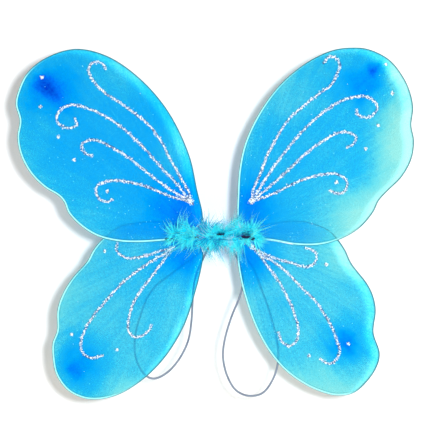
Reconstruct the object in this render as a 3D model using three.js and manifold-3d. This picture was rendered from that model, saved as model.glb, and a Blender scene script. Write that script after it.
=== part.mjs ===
// Child's dress-up fairy wings: four bent wire loops covered in sheer nylon, bound
// together at the middle, with glitter-glue scrolls, a marabou feather trim over the
// binding and two elastic loops for the wearer's arms.
//
// Millimetres, +Z up. The wings stand upright as worn: the decorated face looks
// along -Y and the origin is on the flat back of the centre binding, which rests
// against the wearer's back.
import * as THREE from 'three';
import { mergeVertices } from 'three/addons/utils/BufferGeometryUtils.js';
import Module from 'manifold-3d';

const manifoldLibrary = await Module();
manifoldLibrary.setup();

// ---------------------------------------------------------------- driving dimensions

const GAP = 0.3; // left between pieces that touch
const WIRE_DIAMETER = 2;
const NYLON_THICKNESS = 0.8; // both stretched layers and the air between them
const GATHER_THICKNESS = 2.2; // nylon bunched together at a wing's root
const GATHER_REACH = 15; // how far the bunched nylon reaches from the wing's root

const SWEEP_DEG = 4; // each side leans away from the wearer at rest
const FOLD_X = 11; // upright bend line of each side, from the middle
const FOLD_Y = -9.7;
const ROOT_X = 16.2; // point that both wings of a side fan about
const UPPER_WING_Y = -12; // the upper wings lie in front of the lower ones
const LOWER_WING_Y = -7.4;

const TAIL_START_X = 17.4; // where a frame's two wire ends begin
const TAIL_SPREAD = 1.25; // half the distance between the two wire ends
const TIE_START_X = 17.6;
const TIE_LENGTH = 4;
const TIE_WALL = 0.7;

const BINDING = { width: 12, depth: 16.4, height: 22, corner: 3 };
const TWIST_RADIUS = 2.3;
const TWIST_TURNS = 1.5;
const SIDE_BINDING = { radius: 4.5, height: 19.6, crown: 0.5 };

const SCROLL_WIDTH = 2.4;
const SCROLL_HEIGHT = 0.7;
const DOT_DIAMETER = 3.6;
const DOT_HEIGHT = 0.8;

const FEATHER_RADIUS = 2.8; // the cord that the down is twisted into
const FEATHER_Y = -21.2;
const GLUE_PAD = { width: 10, depth: 1.4, height: 9 };

const ELASTIC_DIAMETER = 2.5;
const ELASTIC_Y = -2.7;
const KNOT = { x: 12.8, z: -8.2, radius: 3, depth: 2.3 };

// Front-view points are [x, z], seen from -Y. A frame runs from its first wire end,
// round the wing, to its second; the wire ends themselves are added by framePath.
const WINGS = {
  upper_left: {
    side: -1,
    planeY: UPPER_WING_Y,
    frame: [
      [-24.5, 5], [-21.5, 13], [-21, 25], [-27, 51], [-36, 91], [-60, 141], [-92, 178], [-129, 203],
      [-164, 210.5], [-197, 200], [-217.5, 183], [-226.5, 165], [-230, 149], [-225.5, 130.5], [-228, 111],
      [-224, 91], [-213, 71], [-198, 56], [-182, 46], [-176, 39], [-171, 27], [-158, 13],
      [-139, 1], [-115, -5], [-91, -6], [-60, -4], [-36, -2],
    ],
    scrollRoot: [-33, 39],
    scrolls: [
      [[-35, 48], [-44, 65], [-56, 86], [-67, 107], [-81, 126], [-97, 139], [-115, 152],
        [-132, 163], [-144, 176], [-149, 187], [-146, 195], [-139, 197], [-132, 194], [-130, 188]],
      [[-51, 61], [-67, 78], [-83, 96], [-100, 113], [-118, 128], [-139, 140], [-155, 146],
        [-169, 148], [-180, 143], [-185, 134], [-182, 126], [-171, 122], [-162, 126], [-165, 134]],
      [[-59, 54], [-83, 72], [-104, 89], [-120, 99], [-136, 107], [-147, 109], [-156, 104],
        [-156, 97], [-150, 92], [-144, 91]],
      [[-59, 46], [-83, 56], [-102, 61], [-120, 63], [-132, 61], [-140, 56], [-140, 48],
        [-136, 41], [-128, 39], [-121, 42]],
    ],
    dots: [[-201, 179], [-203, 146], [-183, 112], [-165, 86], [-128, 51]],
  },
  upper_right: {
    side: 1,
    planeY: UPPER_WING_Y,
    frame: [
      [24.5, 5], [21.5, 13], [20.5, 25], [21, 45], [23, 76], [30, 107], [46.5, 141], [69, 171],
      [98, 195], [127, 209], [148, 212], [168, 210], [191, 198], [206, 179], [213.5, 162.5],
      [217, 145], [215, 125], [218, 107], [215, 87], [204, 67], [189, 52], [179, 41],
      [172, 27], [156, 9], [132, -4], [111, -9], [87, -9], [63, -5], [37, -2],
    ],
    scrollRoot: [36, 39],
    scrolls: [
      [[38, 52], [47, 73], [55, 94], [65, 112], [77, 131], [92, 145], [111, 160], [127, 172],
        [133, 184], [136, 193], [132, 201], [124, 203], [117, 195]],
      [[52, 65], [69, 89], [85, 109], [104, 129], [124, 145], [143, 155], [164, 158],
        [175, 152], [178, 144], [173, 137], [165, 134], [156, 137], [155, 144]],
      [[60, 59], [79, 76], [98, 94], [119, 109], [135, 117], [146, 117], [154, 112],
        [152, 105], [143, 100]],
      [[63, 49], [87, 61], [108, 68], [127, 71], [138, 68], [144, 61], [142, 52], [135, 48],
        [124, 52]],
    ],
    dots: [[188, 194], [195, 161], [179, 125], [165, 99], [132, 61]],
  },
  lower_left: {
    side: -1,
    planeY: LOWER_WING_Y,
    frame: [
      [-35, 7], [-51, 13], [-67, 16], [-91, 15], [-112, 11], [-131, -2], [-143, -16],
      [-150, -29], [-166, -47], [-177, -64.5], [-183.5, -83.5], [-184, -107], [-189, -121],
      [-189, -136], [-185, -156], [-172, -174], [-154, -183], [-135, -184], [-111, -177],
      [-83, -158], [-60, -133], [-41, -100], [-29, -64], [-22, -36], [-20, -21], [-21.5, -12],
      [-24.5, -5],
    ],
    scrollRoot: [-54, -14],
    scrolls: [
      [[-68, -17], [-80, -21], [-93, -24], [-105, -25], [-115, -20], [-118, -13], [-116, -7]],
      [[-65, -21], [-77, -28], [-96, -41], [-113, -55], [-130, -74], [-143, -89], [-154, -108],
        [-158, -120], [-157, -130], [-150, -137], [-143, -138], [-132, -135]],
      [[-60, -22], [-69, -34], [-80, -49], [-93, -66], [-100, -80], [-104, -95], [-104, -108],
        [-97, -115], [-88, -113], [-80, -106], [-78, -100]],
    ],
    dots: [[-131, -17], [-168, -111], [-117, -129]],
  },
  lower_right: {
    side: 1,
    planeY: LOWER_WING_Y,
    frame: [
      [34, 6], [50, 11], [74, 16], [94, 16], [110, 12], [123, 6], [132, -3], [141, -16],
      [148, -31], [166, -54.5], [172.5, -68], [175.5, -84], [173, -109], [180, -133], [177, -147],
      [166, -164], [151, -177], [133, -180], [118, -177], [97, -168], [73, -150.5], [53.5, -126],
      [39.5, -99], [30, -72], [24, -49], [20.5, -24], [21.5, -13], [24.5, -5],
    ],
    scrollRoot: [37, -12],
    scrolls: [
      [[48, -19], [65, -26], [83, -31], [98, -35], [107, -31], [110, -22], [105, -16], [96, -13]],
      [[44, -19], [62, -30], [79, -44], [94, -60], [109, -74], [119, -89], [127, -103],
        [133, -119], [136, -130], [132, -140], [124, -145], [113, -139]],
      [[46, -23], [57, -38], [68, -53], [77, -70], [85, -89], [89, -105], [87, -119],
        [79, -125], [71, -121], [66, -109]],
    ],
    dots: [[121, -32], [146, -122], [101, -136]],
  },
};

// Each side of the middle: the routes of its feather trim and of its arm loop.
const SIDES = {
  left: {
    side: -1,
    feather: [[-25, 0], [-44, -2], [-62, -4]],
    elastic: [
      [-14.6, -11.7], [-24, -20], [-36, -29], [-48, -38], [-60, -47], [-72, -56], [-82, -69],
      [-89, -86], [-96, -111], [-97, -133], [-93, -147], [-85, -159], [-75, -163], [-61, -157],
      [-47, -142], [-36, -120], [-32, -95], [-31, -77], [-30, -60], [-26, -42], [-19, -26],
      [-11.4, -11.7],
    ],
  },
  right: {
    side: 1,
    feather: [[25, -1], [34, -2], [44, -3]],
    elastic: [
      [14.6, -11.7], [22, -17], [31, -27], [40, -42], [46, -58], [54, -80], [60, -100],
      [65, -120], [66, -144], [60, -164], [48, -180], [32, -183], [18, -177], [8, -161],
      [3, -139], [5, -119], [13, -92], [22, -70], [26, -52], [23, -34], [17, -21], [11.4, -11.7],
    ],
  },
};

// ---------------------------------------------------------------- finishes

const FINISHES = {
  wire: { color: 0xe9eef0, roughness: 0.4, metalness: 0.3 },
  nylon: { color: 0x12b4f4, roughness: 0.55, metalness: 0 },
  gather: { color: 0x0a78e6, roughness: 0.6, metalness: 0 },
  thread: { color: 0x1670c8, roughness: 0.7, metalness: 0 },
  tape: { color: 0x1b8fd6, roughness: 0.5, metalness: 0 },
  steel: { color: 0xb9bec2, roughness: 0.35, metalness: 1 },
  glitter: { color: 0xe8ecf2, roughness: 0.25, metalness: 0.6 },
  feather: { color: 0x3fd0ea, roughness: 0.9, metalness: 0 },
  glue: { color: 0xe6e2d2, roughness: 0.3, metalness: 0 },
  elastic: { color: 0x7f93a6, roughness: 0.75, metalness: 0 },
};

function makeMesh(name, geometry, finish) {
  const mesh = new THREE.Mesh(geometry, new THREE.MeshStandardMaterial(FINISHES[finish]));
  mesh.name = name;
  return mesh;
}

// ---------------------------------------------------------------- geometry helpers

// A curve whose steps are shared equally among its points, so that tight bends,
// where the points are close together, get short steps.
class BentPath extends THREE.CatmullRomCurve3 {
  getPointAt(fraction, target) {
    return this.getPoint(fraction, target);
  }

  getTangentAt(fraction, target) {
    return this.getTangent(fraction, target);
  }
}

function flatPath(points, height = 0) {
  const corners = points.map(([x, z]) => new THREE.Vector3(x, z, height));
  return new BentPath(corners, false, 'centripetal');
}

// Turns geometry drawn on the XY plane upright: Y becomes Z, and Z faces the front.
function upright(geometry) {
  return geometry.rotateX(Math.PI / 2);
}

function ovalSection(width, height, sides) {
  const points = [];
  for (let index = 0; index < sides; index += 1) {
    const angle = (2 * Math.PI * (index + 0.5)) / sides;
    points.push(new THREE.Vector2((height / 2) * Math.cos(angle), (width / 2) * Math.sin(angle)));
  }
  return new THREE.Shape(points);
}

// A bead or wire: a section swept along points that lie in one upright plane.
function sweptTube(points, section, stepsPerSpan, height = 0) {
  const steps = (points.length - 1) * stepsPerSpan;
  const extrudePath = flatPath(points, height);
  return new THREE.ExtrudeGeometry(section, { steps, extrudePath, bevelEnabled: false });
}

function roundedRectangle(width, height, corner) {
  const [x, y] = [width / 2, height / 2];
  const shape = new THREE.Shape();
  shape.moveTo(-x + corner, -y);
  shape.lineTo(x - corner, -y);
  shape.absarc(x - corner, -y + corner, corner, -Math.PI / 2, 0, false);
  shape.lineTo(x, y - corner);
  shape.absarc(x - corner, y - corner, corner, 0, Math.PI / 2, false);
  shape.lineTo(-x + corner, y);
  shape.absarc(-x + corner, y - corner, corner, Math.PI / 2, Math.PI, false);
  shape.lineTo(-x, -y + corner);
  shape.absarc(-x + corner, -y + corner, corner, Math.PI, 1.5 * Math.PI, false);
  return shape;
}

// A sleeve along X, its section standing across it: height in Z and depth in Y.
function sleeveAlongX(section, length) {
  const options = { depth: length, bevelEnabled: false, curveSegments: 4 };
  const geometry = new THREE.ExtrudeGeometry(section, options);
  return geometry.translate(0, 0, -length / 2).rotateY(Math.PI / 2);
}

function toSolid(geometry) {
  const bare = geometry.clone();
  bare.deleteAttribute('normal');
  bare.deleteAttribute('uv');
  const merged = mergeVertices(bare, 1e-4);
  const vertProperties = Float32Array.from(merged.attributes.position.array);
  const triVerts = Uint32Array.from(merged.index.array);
  const mesh = new manifoldLibrary.Mesh({ numProp: 3, vertProperties, triVerts });
  return new manifoldLibrary.Manifold(mesh);
}

function toGeometry(solid) {
  const mesh = solid.getMesh();
  const geometry = new THREE.BufferGeometry();
  geometry.setAttribute('position', new THREE.BufferAttribute(mesh.vertProperties, 3));
  geometry.setIndex(new THREE.BufferAttribute(mesh.triVerts, 1));
  geometry.computeVertexNormals();
  return geometry;
}

// ---------------------------------------------------------------- one wing

// The whole run of a wing's wire, with its two ends side by side at the root.
function framePath(wing) {
  const tieEnd = TIE_START_X + TIE_LENGTH;
  const wireEnd = [TAIL_START_X, tieEnd - 1, tieEnd + 0.6].map((x) => wing.side * x);
  const first = wireEnd.map((x) => [x, TAIL_SPREAD]);
  const last = wireEnd.map((x) => [x, -TAIL_SPREAD]).reverse();
  return [...first, ...wing.frame, ...last];
}

const FRAME_STEPS_PER_SPAN = 2;

function wireFrame(wing) {
  const section = ovalSection(WIRE_DIAMETER, WIRE_DIAMETER, 6);
  return upright(sweptTube(framePath(wing), section, FRAME_STEPS_PER_SPAN));
}

// The line just inside the wire, which the stretched nylon fills.
function insideOutline(wing) {
  const points = framePath(wing);
  const path = flatPath(points);
  const samples = (points.length - 1) * FRAME_STEPS_PER_SPAN;
  const centres = path.getSpacedPoints(samples).map((point) => new THREE.Vector2(point.x, point.y));
  const inward = THREE.ShapeUtils.area(centres) > 0 ? 1 : -1;
  const setBack = WIRE_DIAMETER / 2 + GAP;
  const root = new THREE.Vector2(wing.side * ROOT_X, 0);
  const tailReach = TIE_LENGTH + 4.4;
  const outline = [];
  centres.forEach((centre, index) => {
    if (centre.distanceTo(root) > tailReach) {
      const tangent = path.getTangentAt(index / samples);
      const across = new THREE.Vector2(-tangent.y, tangent.x).multiplyScalar(inward * setBack);
      outline.push(centre.clone().add(across));
    }
  });
  return outline;
}

function nylonPanel(wing, thickness) {
  const shape = new THREE.Shape(insideOutline(wing));
  const geometry = new THREE.ExtrudeGeometry(shape, { depth: thickness, bevelEnabled: false });
  return toSolid(geometry.translate(0, 0, -thickness / 2));
}

function rootDisc(wing, radius) {
  const disc = new THREE.CylinderGeometry(radius, radius, 10, 32).rotateX(Math.PI / 2);
  return toSolid(disc.translate(wing.side * ROOT_X, 0, 0));
}

function nylonCover(wing) {
  const panel = nylonPanel(wing, NYLON_THICKNESS).subtract(rootDisc(wing, GATHER_REACH + GAP));
  return upright(toGeometry(panel));
}

function nylonGather(wing) {
  const bunch = nylonPanel(wing, GATHER_THICKNESS).intersect(rootDisc(wing, GATHER_REACH));
  return upright(toGeometry(bunch));
}

// Thread wound round the two wire ends and the nylon's mouth.
function rootTie(wing) {
  const holeHeight = 2 * (TAIL_SPREAD + WIRE_DIAMETER / 2 + GAP);
  const holeDepth = WIRE_DIAMETER + 2 * GAP;
  const corner = holeDepth / 2 - 0.1;
  const section = roundedRectangle(holeHeight + 2 * TIE_WALL, holeDepth + 2 * TIE_WALL, corner + TIE_WALL);
  section.holes.push(roundedRectangle(holeHeight, holeDepth, corner));
  return sleeveAlongX(section, TIE_LENGTH).translate(wing.side * (TIE_START_X + TIE_LENGTH / 2), 0, 0);
}

// All of a wing's scrolls grow out of one blot of glitter glue near its root.
function glitterScrolls(wing) {
  const height = NYLON_THICKNESS / 2 + GAP + SCROLL_HEIGHT / 2;
  const section = ovalSection(SCROLL_WIDTH, SCROLL_HEIGHT, 6);
  const blot = new THREE.CylinderGeometry(SCROLL_WIDTH, SCROLL_WIDTH, SCROLL_HEIGHT, 12);
  const [x, z] = wing.scrollRoot;
  let bead = toSolid(blot.rotateX(Math.PI / 2).translate(x, z, height));
  for (const scroll of wing.scrolls) {
    bead = bead.add(toSolid(sweptTube([wing.scrollRoot, ...scroll], section, 2, height)));
  }
  return upright(toGeometry(bead));
}

function glitterDot([x, z]) {
  const dot = new THREE.CylinderGeometry(DOT_DIAMETER / 3, DOT_DIAMETER / 2, DOT_HEIGHT, 10);
  const front = NYLON_THICKNESS / 2 + GAP + DOT_HEIGHT / 2;
  return upright(dot.rotateX(Math.PI / 2).translate(x, z, front));
}

function makeWing(name, wing) {
  const group = new THREE.Group();
  group.position.y = wing.planeY;
  group.add(makeMesh(`${name}_wire_frame`, wireFrame(wing), 'wire'));
  group.add(makeMesh(`${name}_nylon_cover`, nylonCover(wing), 'nylon'));
  group.add(makeMesh(`${name}_nylon_gather`, nylonGather(wing), 'gather'));
  group.add(makeMesh(`${name}_root_tie`, rootTie(wing), 'thread'));
  group.add(makeMesh(`${name}_glitter_scrolls`, glitterScrolls(wing), 'glitter'));
  wing.dots.forEach((place, index) => {
    group.add(makeMesh(`${name}_glitter_dot_${index + 1}`, glitterDot(place), 'glitter'));
  });
  return group;
}

// ---------------------------------------------------------------- one side's root

// Tape wound round the four wire ends of one side, crowned like a bobbin.
function sideBinding(side) {
  const { radius, height, crown } = SIDE_BINDING;
  const profile = [
    [0, -height / 2], [radius - 1.2, -height / 2], [radius - crown, -height / 2 + 1.2],
    [radius, 0], [radius - crown, height / 2 - 1.2], [radius - 1.2, height / 2], [0, height / 2],
  ];
  const lathe = new THREE.LatheGeometry(profile.map(([x, y]) => new THREE.Vector2(x, y)), 20);
  return upright(lathe).translate(side * FOLD_X, FOLD_Y, 0);
}

function elasticKnot(side) {
  const knot = new THREE.SphereGeometry(1, 12, 8).scale(KNOT.radius, KNOT.depth, KNOT.radius);
  return knot.translate(side * KNOT.x, ELASTIC_Y, KNOT.z);
}

function elasticLoop(route) {
  const section = ovalSection(ELASTIC_DIAMETER, ELASTIC_DIAMETER, 8);
  return upright(sweptTube(route, section, 2)).translate(0, ELASTIC_Y, 0);
}

function featherCord(route) {
  const section = ovalSection(2 * FEATHER_RADIUS, 2 * FEATHER_RADIUS, 10);
  return upright(sweptTube(route, section, 3)).translate(0, FEATHER_Y, 0);
}

// A side turns about its bend line, so its pieces are set back from that line.
function makeSide(name, { side, feather, elastic }) {
  const turned = new THREE.Group();
  turned.position.set(side * FOLD_X, FOLD_Y, 0);
  turned.rotation.z = -side * THREE.MathUtils.degToRad(SWEEP_DEG);
  const pieces = new THREE.Group();
  pieces.position.set(-side * FOLD_X, -FOLD_Y, 0);
  pieces.add(makeMesh(`${name}_side_binding`, sideBinding(side), 'tape'));
  pieces.add(makeMesh(`${name}_feather_trim`, featherCord(feather), 'feather'));
  pieces.add(makeMesh(`${name}_elastic_knot`, elasticKnot(side), 'elastic'));
  pieces.add(makeMesh(`${name}_elastic_loop`, elasticLoop(elastic), 'elastic'));
  for (const [wingName, wing] of Object.entries(WINGS)) {
    if (wing.side === side) {
      pieces.add(makeWing(wingName, wing));
    }
  }
  turned.add(pieces);
  return turned;
}

// ---------------------------------------------------------------- the middle

// Tape wound flat round the twisted wires, which pass through it along X.
function centreBinding() {
  const { width, depth, height, corner } = BINDING;
  const section = roundedRectangle(height, depth, corner);
  const hole = new THREE.Path();
  hole.absarc(0, FOLD_Y + depth / 2, TWIST_RADIUS + GAP, 0, 2 * Math.PI, true);
  section.holes.push(hole);
  const options = { depth: width, bevelEnabled: false, curveSegments: 12 };
  const geometry = new THREE.ExtrudeGeometry(section, options).translate(0, 0, -width / 2);
  return geometry.rotateY(Math.PI / 2).translate(0, -depth / 2, 0);
}

// Four strands twisted together: a four-lobed section that turns along X.
function centreWireTwist() {
  const length = BINDING.width + 0.4;
  const lobes = [];
  const sides = 16;
  for (let index = 0; index < sides; index += 1) {
    const angle = (2 * Math.PI * index) / sides;
    const radius = TWIST_RADIUS * (0.85 + 0.15 * Math.cos(4 * angle));
    lobes.push(new THREE.Vector2(radius * Math.cos(angle), radius * Math.sin(angle)));
  }
  const options = { depth: length, steps: 8, bevelEnabled: false };
  const geometry = new THREE.ExtrudeGeometry(new THREE.Shape(lobes), options);
  const places = geometry.attributes.position;
  const place = new THREE.Vector3();
  const along = new THREE.Vector3(0, 0, 1);
  for (let index = 0; index < places.count; index += 1) {
    place.fromBufferAttribute(places, index);
    place.applyAxisAngle(along, (2 * Math.PI * TWIST_TURNS * place.z) / length);
    places.setXYZ(index, place.x, place.y, place.z);
  }
  geometry.translate(0, 0, -length / 2);
  return geometry.rotateY(Math.PI / 2).translate(0, FOLD_Y, 0);
}

function gluePad() {
  const { width, depth, height } = GLUE_PAD;
  const section = roundedRectangle(width, height, 2);
  const options = { depth, bevelEnabled: false, curveSegments: 4 };
  const geometry = upright(new THREE.ExtrudeGeometry(section, options));
  return geometry.translate(0, -BINDING.depth - GAP, 0);
}

function makeCentre() {
  const centre = new THREE.Group();
  centre.add(makeMesh('centre_binding', centreBinding(), 'tape'));
  centre.add(makeMesh('centre_wire_twist', centreWireTwist(), 'steel'));
  centre.add(makeMesh('feather_glue_pad', gluePad(), 'glue'));
  centre.add(makeMesh('centre_feather_trim', featherCord([[-7, 0], [0, 0.5], [7, 0]]), 'feather'));
  return centre;
}

// ---------------------------------------------------------------- the whole object

const fairyWings = new THREE.Group();
fairyWings.add(makeCentre());
for (const [name, side] of Object.entries(SIDES)) {
  fairyWings.add(makeSide(name, side));
}

export default fairyWings;
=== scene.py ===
"""Child's dress-up fairy wings: sheer nylon stretched over four bent wire loops.

Glitter-glue scrolls decorate the front, a marabou trim hides the taped middle and two
elastic loops go round the wearer's arms. Shapes are drawn in millimetres on each side's
flat front view (x, z) and then placed, in metres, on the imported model's frame.
"""

import logging
import math
import random
from collections.abc import Callable, Sequence
from dataclasses import dataclass
from enum import Enum

import bmesh
import bpy
from mathutils import Matrix, Vector
from mathutils.kdtree import KDTree
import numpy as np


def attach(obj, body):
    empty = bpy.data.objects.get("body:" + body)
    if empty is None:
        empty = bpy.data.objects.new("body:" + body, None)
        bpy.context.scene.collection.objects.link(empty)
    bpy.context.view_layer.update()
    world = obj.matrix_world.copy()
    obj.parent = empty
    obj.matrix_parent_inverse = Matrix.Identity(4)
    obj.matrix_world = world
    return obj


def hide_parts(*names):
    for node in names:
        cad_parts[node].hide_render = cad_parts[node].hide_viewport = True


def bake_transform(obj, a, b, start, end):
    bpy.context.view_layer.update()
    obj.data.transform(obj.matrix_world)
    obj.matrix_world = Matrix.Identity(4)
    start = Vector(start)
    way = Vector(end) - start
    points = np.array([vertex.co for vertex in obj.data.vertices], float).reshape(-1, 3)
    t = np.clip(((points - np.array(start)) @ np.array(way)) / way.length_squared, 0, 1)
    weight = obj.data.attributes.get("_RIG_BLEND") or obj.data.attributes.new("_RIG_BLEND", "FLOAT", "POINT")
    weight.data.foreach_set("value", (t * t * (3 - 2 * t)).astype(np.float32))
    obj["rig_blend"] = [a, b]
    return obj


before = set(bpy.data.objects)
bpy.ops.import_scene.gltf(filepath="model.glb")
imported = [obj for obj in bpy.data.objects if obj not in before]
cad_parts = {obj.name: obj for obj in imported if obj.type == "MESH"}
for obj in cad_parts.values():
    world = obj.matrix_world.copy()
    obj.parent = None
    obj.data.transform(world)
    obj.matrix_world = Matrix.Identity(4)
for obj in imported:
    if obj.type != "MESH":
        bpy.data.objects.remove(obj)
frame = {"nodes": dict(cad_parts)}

LOG = logging.getLogger("fairy_wings")
MILLIMETRES = Matrix.Scale(0.001, 4)
FRONT = Vector((0.0, -1.0, 0.0))

Point = tuple[float, float]
Route = tuple[Point, ...]
Colour = tuple[float, float, float, float]
Stops = tuple[tuple[float, Colour], ...]
BMesh = bmesh.types.BMesh
Layer = bmesh.types.BMLayerItem
Material = bpy.types.Material
Piece = bpy.types.Object
Socket = bpy.types.NodeSocket
Number = Socket | float  # a number, or the output of a node that holds one
Tint = Socket | Colour  # the same for a colour
Place = Socket | tuple[float, float, float]  # and for a point

SWEEP = math.radians(4)  # each side leans away from the wearer at rest
FOLD_X = 11.0  # upright bend line of each side
FOLD_Y = -9.7
ROOT_X = 16.2  # point that both wings of a side fan about
HUB_X = 22.5  # point that the nylon's pleats run out from
WIRE_RADIUS = 1.0
ELASTIC_Y = -2.7
FEATHER_Y = -21.2


class Slot(str, Enum):
    """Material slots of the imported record."""

    WIRE = "coated_wire"
    NYLON = "sheer_nylon"
    GATHER = "gathered_nylon"
    THREAD = "tie_thread"
    TAPE = "binding_tape"
    GLUE = "hot_glue"
    DOWN = "marabou_down"
    GLITTER = "glitter_glue"
    ELASTIC = "elastic_cord"


class Side(Enum):
    """Left and right of the middle, as seen from the front."""

    LEFT = -1
    RIGHT = 1

    @property
    def label(self) -> str:
        """First word of the names of this side's pieces."""
        return self.name.lower()

    @property
    def body(self) -> str:
        """Name of the body that this side's tape, loop and feathers move with."""
        return f"{self.label}_side"

    @property
    def place(self) -> Matrix:
        """Turns the side about its fold line by the sweep, in millimetres, then to metres."""
        line = Matrix.Translation((self.value * FOLD_X, FOLD_Y, 0))
        return MILLIMETRES @ line @ Matrix.Rotation(-self.value * SWEEP, 4, "Z") @ line.inverted()


@dataclass(frozen=True)
class Wash:
    """A soft oval that strengthens or weakens the dye, in millimetres on the front view. Some weak ones are
    painted light.
    """

    x: float
    z: float
    reach_x: float
    reach_z: float
    strength: float


@dataclass(frozen=True)
class WingPlan:
    """One wing's outline, decoration and dye, on the front view."""

    name: str
    side: Side
    plane_y: float
    frame: Route
    scroll_root: Point
    scrolls: tuple[Route, ...]
    dots: Route
    dye: float
    dye_and_light_washes: tuple[Wash, ...]


UPPER_LEFT = WingPlan(
    name="upper_left",
    side=Side.LEFT,
    plane_y=-12.0,
    frame=(
        (-24.5, 5), (-21.5, 13), (-21, 25), (-27, 51), (-36, 91), (-60, 141), (-92, 178),
        (-129, 203), (-164, 210.5), (-197, 200), (-217.5, 183), (-226.5, 165), (-230, 149),
        (-225.5, 130.5), (-228, 111), (-224, 91), (-213, 71), (-198, 56), (-182, 46), (-176, 39),
        (-171, 27), (-158, 13), (-139, 1), (-115, -5), (-91, -6), (-60, -4), (-36, -2),
    ),
    scroll_root=(-33, 39),
    scrolls=(
        ((-35, 48), (-44, 65), (-56, 86), (-67, 107), (-81, 126), (-97, 139), (-115, 152),
         (-132, 163), (-144, 176), (-149, 187), (-146, 195), (-139, 197), (-132, 194), (-130, 188)),
        ((-51, 61), (-67, 78), (-83, 96), (-100, 113), (-118, 128), (-139, 140), (-155, 146),
         (-169, 148), (-180, 143), (-185, 134), (-182, 126), (-171, 122), (-162, 126), (-165, 134)),
        ((-59, 54), (-83, 72), (-104, 89), (-120, 99), (-136, 107), (-147, 109), (-156, 104),
         (-156, 97), (-150, 92), (-144, 91)),
        ((-59, 46), (-83, 56), (-102, 61), (-120, 63), (-132, 61), (-140, 56), (-140, 48),
         (-136, 41), (-128, 39), (-121, 42)),
    ),
    dots=((-201, 179), (-203, 146), (-183, 112), (-165, 86), (-128, 51)),
    dye=0.52,
    dye_and_light_washes=(
        Wash(-196, 168, 26, 21, 0.22),
        Wash(-186, 161, 46, 44, 0.22),
        Wash(-40, 27, 70, 60, 0.28),
        # painted light: the lit wall seen through the nylon's right edge
        Wash(-45, 105, 38, 75, -0.12),
        Wash(-105, 185, 70, 45, -0.10),
        Wash(-215, 95, 45, 60, -0.10),
        Wash(-145, 15, 70, 45, -0.12),
    ),
)

UPPER_RIGHT = WingPlan(
    name="upper_right",
    side=Side.RIGHT,
    plane_y=-12.0,
    frame=(
        (24.5, 5), (21.5, 13), (20.5, 25), (21, 45), (23, 76), (30, 107), (46.5, 141), (69, 171),
        (98, 195), (127, 209), (148, 212), (168, 210), (191, 198), (206, 179), (213.5, 162.5),
        (217, 145), (215, 125), (218, 107), (215, 87), (204, 67), (189, 52), (179, 41),
        (172, 27), (156, 9), (132, -4), (111, -9), (87, -9), (63, -5), (37, -2),
    ),
    scroll_root=(36, 39),
    scrolls=(
        ((38, 52), (47, 73), (55, 94), (65, 112), (77, 131), (92, 145), (111, 160), (127, 172),
         (133, 184), (136, 193), (132, 201), (124, 203), (117, 195)),
        ((52, 65), (69, 89), (85, 109), (104, 129), (124, 145), (143, 155), (164, 158),
         (175, 152), (178, 144), (173, 137), (165, 134), (156, 137), (155, 144)),
        ((60, 59), (79, 76), (98, 94), (119, 109), (135, 117), (146, 117), (154, 112),
         (152, 105), (143, 100)),
        ((63, 49), (87, 61), (108, 68), (127, 71), (138, 68), (144, 61), (142, 52), (135, 48),
         (124, 52)),
    ),
    dots=((188, 194), (195, 161), (179, 125), (165, 99), (132, 61)),
    dye=0.44,
    dye_and_light_washes=(
        Wash(175, 189, 14, 13, 0.30),
        Wash(160, 174, 48, 42, 0.26),
        Wash(28, 35, 60, 70, 0.30),
        # these three are painted light: the lit wall and glare seen through the nylon's right side
        Wash(214, 96, 62, 120, -0.56),
        Wash(168, 16, 88, 62, -0.52),
        Wash(205, 188, 34, 40, -0.32),
        Wash(80, 160, 60, 50, -0.10),
        Wash(30, 95, 30, 50, -0.06),
    ),
)

LOWER_LEFT = WingPlan(
    name="lower_left",
    side=Side.LEFT,
    plane_y=-7.4,
    frame=(
        (-35, 7), (-51, 13), (-67, 16), (-91, 15), (-112, 11), (-131, -2), (-143, -16),
        (-150, -29), (-166, -47), (-177, -64.5), (-183.5, -83.5), (-184, -107), (-189, -121),
        (-189, -136), (-185, -156), (-172, -174), (-154, -183), (-135, -184), (-111, -177),
        (-83, -158), (-60, -133), (-41, -100), (-29, -64), (-22, -36), (-20, -21), (-21.5, -12),
        (-24.5, -5),
    ),
    scroll_root=(-54, -14),
    scrolls=(
        ((-68, -17), (-80, -21), (-93, -24), (-105, -25), (-115, -20), (-118, -13), (-116, -7)),
        ((-65, -21), (-77, -28), (-96, -41), (-113, -55), (-130, -74), (-143, -89), (-154, -108),
         (-158, -120), (-157, -130), (-150, -137), (-143, -138), (-132, -135)),
        ((-60, -22), (-69, -34), (-80, -49), (-93, -66), (-100, -80), (-104, -95), (-104, -108),
         (-97, -115), (-88, -113), (-80, -106), (-78, -100)),
    ),
    dots=((-131, -17), (-168, -111), (-117, -129)),
    dye=0.36,
    dye_and_light_washes=(
        Wash(-165, -153, 15, 14, 0.10),
        Wash(-160, -148, 48, 52, 0.30),
        Wash(-40, -26, 60, 48, 0.34),
        Wash(-175, -70, 50, 60, -0.08),
        Wash(-110, -172, 60, 30, -0.08),
    ),
)

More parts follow.
